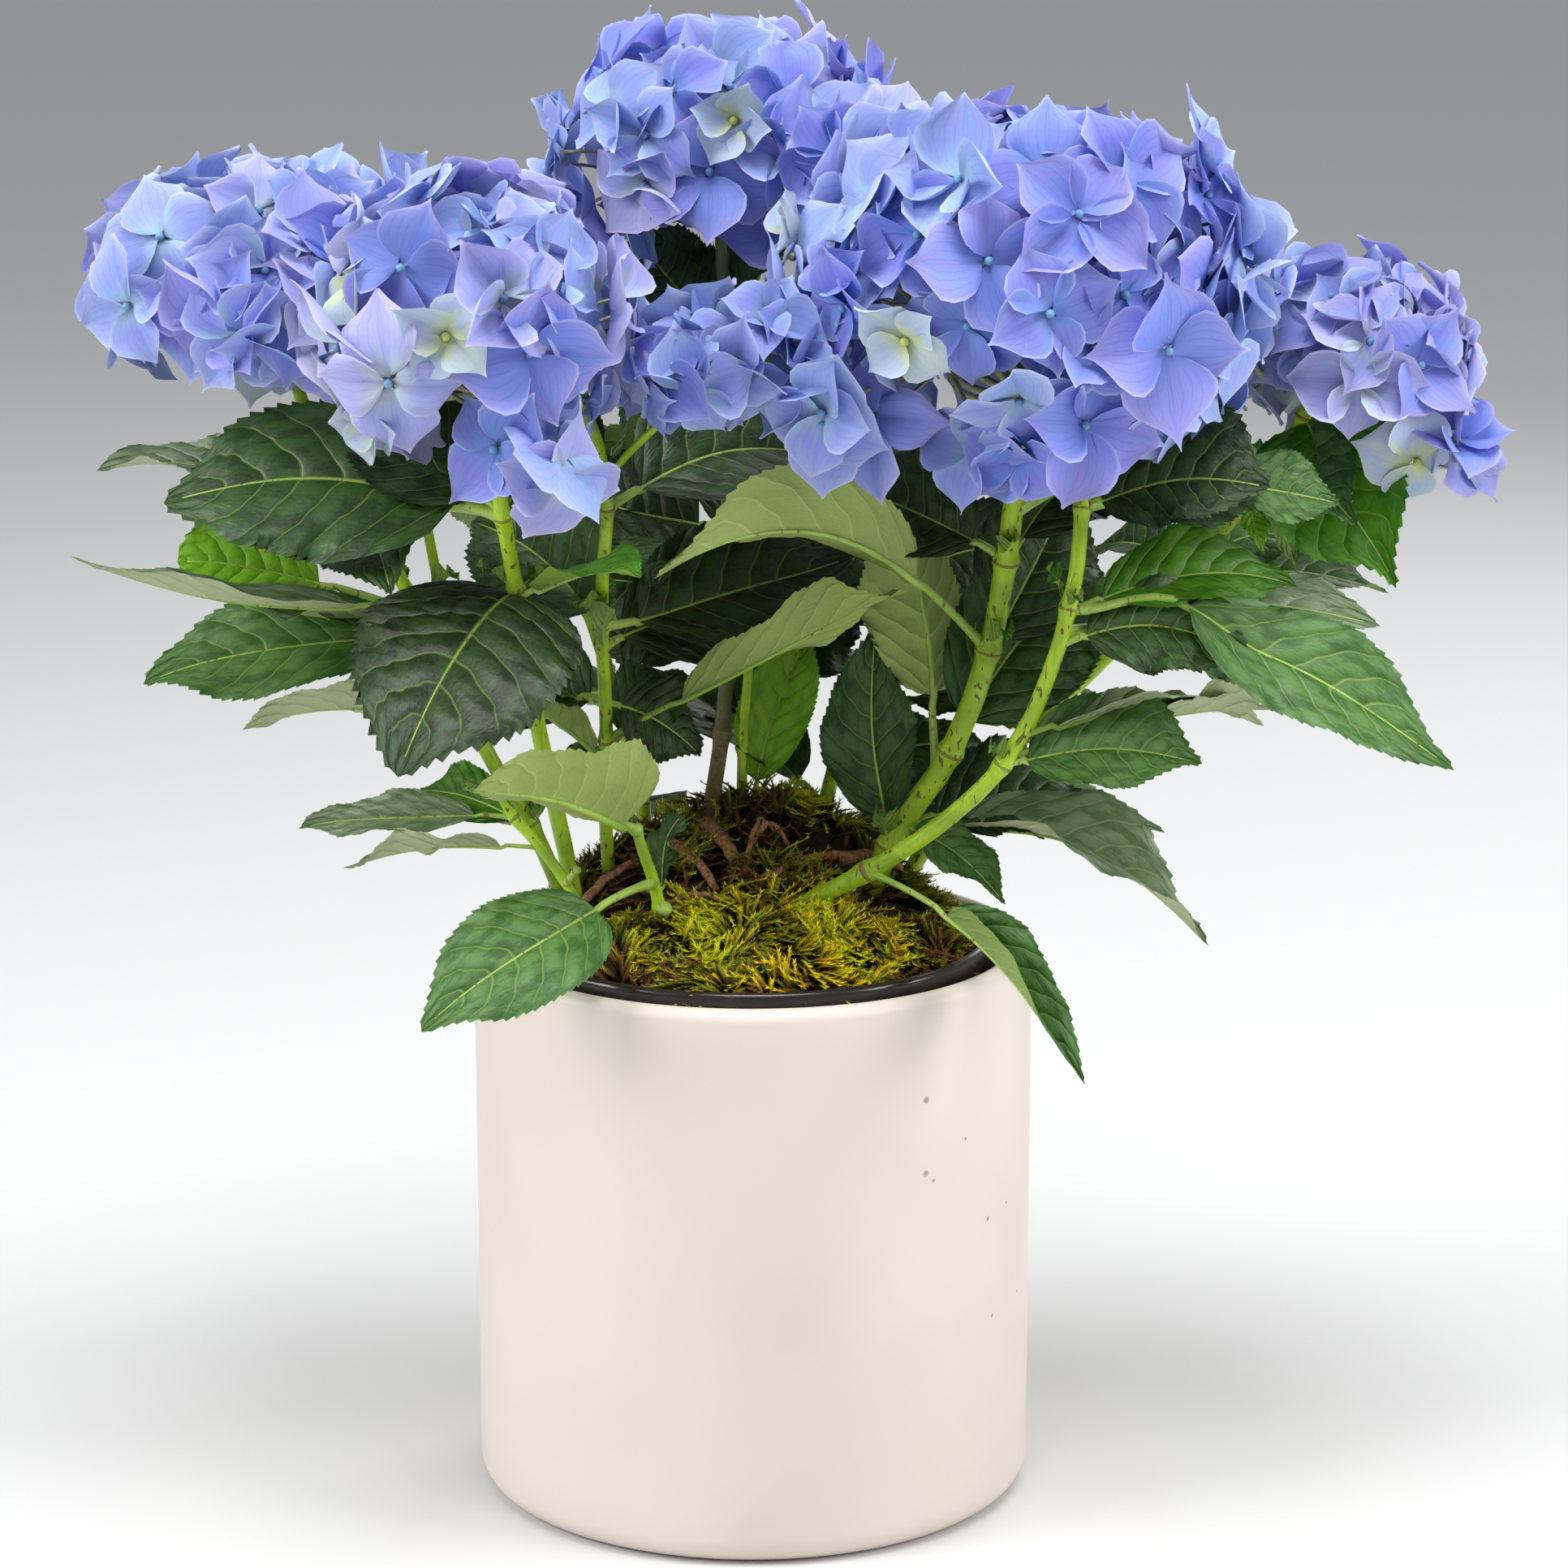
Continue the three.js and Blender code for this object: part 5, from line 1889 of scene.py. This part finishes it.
    def _branch(self, roots: list[Array], florets: list[Floret]) -> None:
        """Branches from the stems' ends to every floret.

        Args:
            roots: The ends of the stems in the head.
            florets: The florets of the head.
        """
        feet = np.array([floret.middle - floret.facing * 0.5 * MM for floret in florets])
        owner = np.linalg.norm(feet[:, None] - np.array(roots)[None], axis=2).argmin(axis=1)
        for number, root in enumerate(roots):
            mine = np.flatnonzero(owner == number)
            if not len(mine):
                continue
            forks = feet[mine][:: max(1, len(mine) // max(2, len(mine) // 6))]
            nearest = np.linalg.norm(feet[mine][:, None] - forks[None], axis=2).argmin(axis=1)
            for j in range(len(forks)):
                group = mine[nearest == j]
                if not len(group):
                    continue
                fork = root + 0.5 * (feet[group].mean(axis=0) - root)
                self._bent(root, fork, SKY, self.BRANCH)
                for index in group:
                    self._bent(fork, feet[index], florets[index].facing, self.TWIG)

    def _bent(self, start: Array, end: Array, arrive: Array, radii: tuple[float, float]) -> None:
        """Adds a thin stalk.

        Args:
            start: Its foot.
            end: Its head.
            arrive: The direction in which it reaches its head.
            radii: Its radius at foot and head.
        """
        span = np.linalg.norm(end - start)
        control = end - arrive * span * 0.45
        u = np.linspace(0, 1, 6)[:, None]
        line = (1 - u) ** 2 * start + 2 * u * (1 - u) * control + u ** 2 * end
        self.stalks.add(*tube(line, np.linspace(*radii, 6), 5))

    def build(self) -> None:
        """Grows all heads, and joins the sepals of each hue, the beads and the stalks into pieces."""
        for bloom in BLOOMS:
            self.add(bloom)
        for hue, sepals in self.sepals.items():
            nodes = tuple(self.nodes) if hue is Hue.BLUE else ()
            dressed(sepals.piece("sepals_" + hue.name.lower()), hue.value.shader(), nodes)
        beads = {"bead_green": BeadSkin("bead green", 0x6E823C, 0xBAC66E),
                 "bead_blue": BeadSkin("bead blue", 0x3A4882, 0x70A4C8)}
        for name, skin in beads.items():
            dressed(self.beads[name].piece(name), skin.shader())
        skin = StemSkin("flower stalk", 0xB0BE8C, 0x9C9882, 0x8C686E)
        dressed(self.stalks.piece("flower_stalks"), skin.shader())


# ---- moss ----


@dataclass(frozen=True)
class MossSkin:
    """Moss fronds from a root darkened by painted shade to a tip that is partly its own bright colour and
    partly painted highlight.
    """

    name: str
    root: Color
    tip: Color

    def shader(self) -> Shader:
        """The material. It reads the frond's own map."""
        made = Shader(self.name, self.tip, 0.75)
        _, along = made.sheet()
        # Painted shade darkens each frond towards its foot, down among the others; the tip colour is partly
        # painted highlight.
        made.feed("Base Color", made.mix(self.root, self.tip, along.eased(0.25, 1.0)))
        made.plain("Specular IOR Level", 0.15)
        return made


@dataclass(frozen=True)
class MossFloor:
    """The dark, crumbly litter between the fronds."""

    dark: Color = 0x22180E
    green: Color = 0x3E3416

    CRUMB = 1.5 * MM

    def shader(self) -> Shader:
        """The material."""
        made = Shader("moss floor", self.dark, 0.95)
        place = made.place()
        green = made.noise(place, 130, 5, 0.7).eased(0.4, 0.7)
        made.feed("Base Color", made.mix(self.dark, self.green, green))
        made.relief(made.noise(place, 420, 4, 0.7), self.CRUMB)
        return made


class Growth(Enum):
    """The colours that moss comes in."""

    GOLD = MossSkin("moss gold", 0x241600, 0xE8C810)
    LIME = MossSkin("moss lime", 0x1C1A00, 0xD4D61A)
    GREEN = MossSkin("moss green", 0x161606, 0x8C8E1C)
    RUST = MossSkin("moss rust", 0x26180C, 0x7C5026)


@dataclass
class MossBed:
    """The moss over the root ball: a mound of litter, thick with fronds."""

    rings: int = 26
    segments: int = 96
    skirt: float = 4 * MM
    smoothings: int = 5
    bumps: float = 3.2 * MM
    sunk: float = 3 * MM
    edge: float = 2.5 * MM
    count: int = 6000
    stations: int = 5
    leaflets: int = 6
    length: tuple[float, float] = (7 * MM, 14 * MM)
    leaflet: float = 1.3 * MM
    foot: float = 0.7 * MM
    seed: int = 5

    def build(self) -> BVHTree:
        """Makes the mound and its fronds.

        Returns:
            The mound's surface, for what lies on it.
        """
        low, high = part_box("moss_bed")
        centre = np.array((low + high) / 2)
        axis = Vector((centre[0], centre[1], 0))
        radius = (high.x - low.x) / 2
        cad = surface_of("moss_bed")
        profile = [(0, low.z), (radius * 0.97, low.z)]
        level = low.z + 2 * self.skirt
        profile += [(radius * (1 - step / self.rings), level) for step in range(self.rings + 1)]
        piece = turned("moss_mound", profile, self.segments, axis)
        shape = bmesh.new()
        shape.from_mesh(piece.data)
        top = [v for v in shape.verts if v.co.z > low.z + self.skirt]
        for corner in top:
            inward = axis.lerp(corner.co, 0.97)
            spot, _ = below(cad, inward.x, inward.y)
            corner.co.z = spot.z if spot else corner.co.z
        for _ in range(self.smoothings):
            bmesh.ops.smooth_vert(shape, verts=top, factor=0.5, use_axis_z=True)
        for corner in top:
            corner.co.z += self.bumps * noise.fractal(corner.co * 60, 0.8, 2.1, 4) - self.sunk
        bmesh.ops.recalc_face_normals(shape, faces=shape.faces)
        shape.to_mesh(piece.data)
        tree = BVHTree.FromBMesh(shape)
        shape.free()
        dressed(piece, MossFloor().shader(), ("moss_bed",))
        self._fronds(tree, centre, radius - self.edge)
        return tree

    def _fronds(self, tree: BVHTree, centre: Array, radius: float) -> None:
        """Plants the fronds and joins those of each colour.

        Args:
            tree: The mound's surface.
            centre: The bed's middle.
            radius: How far out the fronds stand.
        """
        rng = np.random.default_rng(self.seed)
        joined = {growth: Joined() for growth in Growth}
        index = np.arange(self.count)
        out = radius * np.sqrt((index + rng.random(self.count)) / self.count)
        angle = index * GOLDEN + rng.normal(0, 0.05, self.count)
        for distance, bearing in zip(out, angle):
            x = centre[0] + distance * math.cos(bearing)
            y = centre[1] + distance * math.sin(bearing)
            spot, normal = below(tree, x, y)
            if spot is None:
                continue
            edge = distance / radius
            growth = self._growth(np.array(spot) - centre, edge, rng)
            if growth is None:
                continue
            flow = level_way(9.0 * noise.noise(spot * 40) + rng.normal(0, 0.35))
            self._frond(joined[growth], np.array(spot), np.array(normal), flow, edge, rng)
        for growth, fronds in joined.items():
            dressed(fronds.piece("moss_" + growth.name.lower()), growth.value.shader())

    @staticmethod
    def _growth(off: Array, edge: float, rng: np.random.Generator) -> Growth | None:
        """Picks the colour at a place: gold in front, lime beside it, rust by the rim, green behind.

        Args:
            off: The place from the bed's middle.
            edge: Its distance from there as a share of the bed's radius.
            rng: The random choices.

        Returns:
            The colour, or none where the ground is bare.
        """
        drift = noise.noise(Vector(off * 52)) + rng.normal(0, 0.16)
        front = -off[1] / (60 * MM)
        bare = noise.noise(Vector(off * 40 + 3.0 * EAST)) < 0.16
        if abs(front + 0.02) < 0.36 and edge < 0.84 and bare:
            return None if rng.random() < 0.88 else Growth.RUST
        if edge > 0.86 and drift + (0.22 if off[0] < 0 else -0.12) > 0.15:
            return Growth.RUST
        if front > 0.25:
            if abs(off[0] / (70 * MM)) > 0.75:
                return Growth.GREEN if drift > -0.1 else Growth.RUST
            if drift < -0.2:
                return Growth.GREEN
            return Growth.LIME if drift + (0.14 if off[0] < 0 else -0.06) > 0.06 else Growth.GOLD
        if drift > (0.0 if front < -0.3 else 0.26):
            return Growth.LIME
        return Growth.RUST if drift < -0.3 else Growth.GREEN

    def _frond(self, fronds: Joined, spot: Array, normal: Array, flow: Array, edge: float,
               rng: np.random.Generator) -> None:
        """Adds one feathery frond: a thin bent stem with leaflets down both sides.

        Args:
            fronds: Where fronds of its colour are joined.
            spot: Its foot.
            normal: The ground's normal there.
            flow: The level direction that it leans in.
            edge: Its distance from the bed's middle as a share of the radius.
            rng: The random choices.
        """
        size = rng.uniform(*self.length) * (1.25 - 0.5 * edge)
        lie = rng.uniform(0.6, 1.5)
        steps = np.linspace(0, 1, self.stations)
        u = steps[:, None]
        flow = unit(flow - normal * (flow @ normal))
        line = spot + size * (normal * (u - 0.42 * lie * u ** 2) + flow * lie * (0.25 * u + 0.6 * u ** 2))
        fronds.add(*tube(line, np.interp(steps, [0, 0.7, 1], [0.6, 0.5, 0.1]) * MM, 3))
        heading = unit(np.gradient(line, axis=0))
        side = unit(np.cross(heading, normal + 1e-4))
        share = np.linspace(0.2, 0.95, self.leaflets)
        base = resampled(share, steps, line)
        ahead, beside = (unit(resampled(share, steps, rows)) for rows in (heading, side))
        reach = (self.leaflet * (1 - 0.4 * share) * rng.uniform(0.8, 1.2))[:, None]
        shares = np.repeat(share, 3)
        map_points = np.stack([np.full_like(shares, 0.5), shares], axis=1)
        for way in (-1, 1):
            root = base - ahead * self.foot
            front = base + ahead * self.foot
            tip = base + beside * reach * way + ahead * reach * 2.2 + normal * reach * 0.5
            points = np.stack([root, tip, front], axis=1).reshape(-1, 3)
            fronds.add(points, np.arange(len(points)).reshape(-1, 3), map_points)


@dataclass
class Twig:
    """One dead twig or old root: its two ends on the moss, its radius and its rise, in millimetres."""

    start: tuple[float, float]
    end: tuple[float, float]
    radius: float
    rise: float


class Litter:
    """The dead twigs and old roots that lie in the moss."""

    SEED = 3
    STATIONS = 14
    WANDER = 0.9 * MM
    CLEAR = 4 * MM
    TWIGS = [
        Twig((-31, 15), (-12, -22), 1.7, 5),
        Twig((4, -16), (32, 7), 1.5, 5),
        Twig((29, 3), (50, 24), 2.2, 5),
        Twig((-33, -25), (-10, -28), 1.2, 4),
        Twig((-16, 16), (-6, -8), 2.4, 4),
        Twig((0, -2), (7, 3), 1.1, 9),
        Twig((2, 2), (12, -2), 0.9, 8),
        Twig((-2, -8), (4, 6), 0.8, 7),
        Twig((-62, -18), (-40, 4), 1.4, 5),
        Twig((-44, -12), (-30, -20), 1.0, 4),
        Twig((20, 30), (-12, 52), 1.8, 5),
    ]

    def __init__(self, ground: BVHTree) -> None:
        """Takes the ground that the litter lies on."""
        self.ground = ground

    def build(self) -> None:
        """Lays the twigs."""
        rng = np.random.default_rng(self.SEED)
        twigs = Joined()
        count = self.STATIONS
        for twig in self.TWIGS:
            start, end = (np.array(below(self.ground, x * MM, y * MM)[0]) for x, y in (twig.start, twig.end))
            u = np.linspace(0, 1, count)[:, None]
            line = start + (end - start) * u
            wander = rng.normal(0, self.WANDER, (count, 3)).cumsum(axis=0) * np.sin(math.pi * u)
            line = line + wander * 0.35
            line[:, 2] += self.CLEAR + twig.rise * MM * (0.45 + 0.55 * np.sin(math.pi * u[:, 0]))
            taper = twig.radius * MM * np.interp(u[:, 0], [0, 1], [1.15, 0.8])
            radii = taper * (1 + rng.normal(0, 0.1, count))
            twigs.add(*tube(line, radii, 10))
        skin = StemSkin("dead twig", bark=0x70442C, bark_light=0xB0845A, bark_from=2.0, bark_to=3.0)
        dressed(twigs.piece("dead_twigs"), skin.shader())


# ---- stage ----


@dataclass
class Studio:
    """A pale floor, soft lights and the camera."""

    floor_tone: Color = 0xD8D8D7
    floor_size: float = 60.0
    sky_tone: Triple = (0.93, 0.95, 1.0)
    sky_strength: float = 0.42
    aim: Triple = (0, 0, 0.28)
    lamp_size: float = 1.0
    eye: Triple = (0.0105, -1.577, 0.613)
    pitch: float = 76.8
    lens: float = 110.4
    sensor: float = 36

    LAMPS = (("left", (-1.7, -0.6, 1.2), 27), ("right", (1.75, -0.5, 1.0), 22),
             ("top", (0.1, -0.45, 2.0), 27), ("rim", (0.8, 1.5, 1.3), 10))

    def floor(self) -> None:
        """Lays the floor."""
        shape = bmesh.new()
        bmesh.ops.create_grid(shape, x_segments=2, y_segments=2, size=self.floor_size / 2)
        piece = from_bmesh(shape, "floor")
        piece.data.materials.append(Shader("pale floor", self.floor_tone, 0.8).material)

    def lamp(self, name: str, spot: Triple, power: float) -> None:
        """Hangs one square soft lamp that faces the plant.

        Args:
            name: The lamp's name.
            spot: Where it hangs.
            power: Its power in watts.
        """
        data = bpy.data.lights.new(name, "AREA")
        data.shape = "SQUARE"
        data.size = self.lamp_size
        data.energy = power
        lamp = linked(name, data)
        lamp.location = spot
        way = Vector(self.aim) - Vector(spot)
        lamp.rotation_euler = way.to_track_quat("-Z", "Y").to_euler()

    def sky(self) -> None:
        """Sets the sky's tone."""
        world = bpy.data.worlds.new("studio")
        world.use_nodes = True
        background = world.node_tree.nodes["Background"]
        background.inputs["Color"].default_value = (*self.sky_tone, 1)
        background.inputs["Strength"].default_value = self.sky_strength
        bpy.context.scene.world = world

    def camera(self) -> None:
        """Sets the camera."""
        data = bpy.data.cameras.new("camera")
        data.lens = self.lens
        data.sensor_width = self.sensor
        camera = linked("camera", data)
        camera.location = self.eye
        camera.rotation_euler = (math.radians(self.pitch), 0, 0)
        bpy.context.scene.camera = camera

    def build(self) -> None:
        """Makes the whole stage."""
        self.floor()
        for lamp in self.LAMPS:
            self.lamp(*lamp)
        self.sky()
        self.camera()
        bpy.context.scene.view_settings.view_transform = "Standard"


# ---- the whole ----


def main() -> None:
    """Builds every sub-assembly in order."""
    logging.basicConfig(level=logging.INFO, format="%(message)s")
    Studio().build()
    Planter().build()
    GrowingPot().build()
    RootBall().dress()
    ground = MossBed().build()
    Litter(ground).build()
    spines = {name: Spine(name) for name in STEM_NAMES}
    foliage = Foliage(spines)
    foliage.build()
    Stems(spines, foliage.joints).build()
    Flowers(spines).build()


if __name__ == "__main__":
    main()
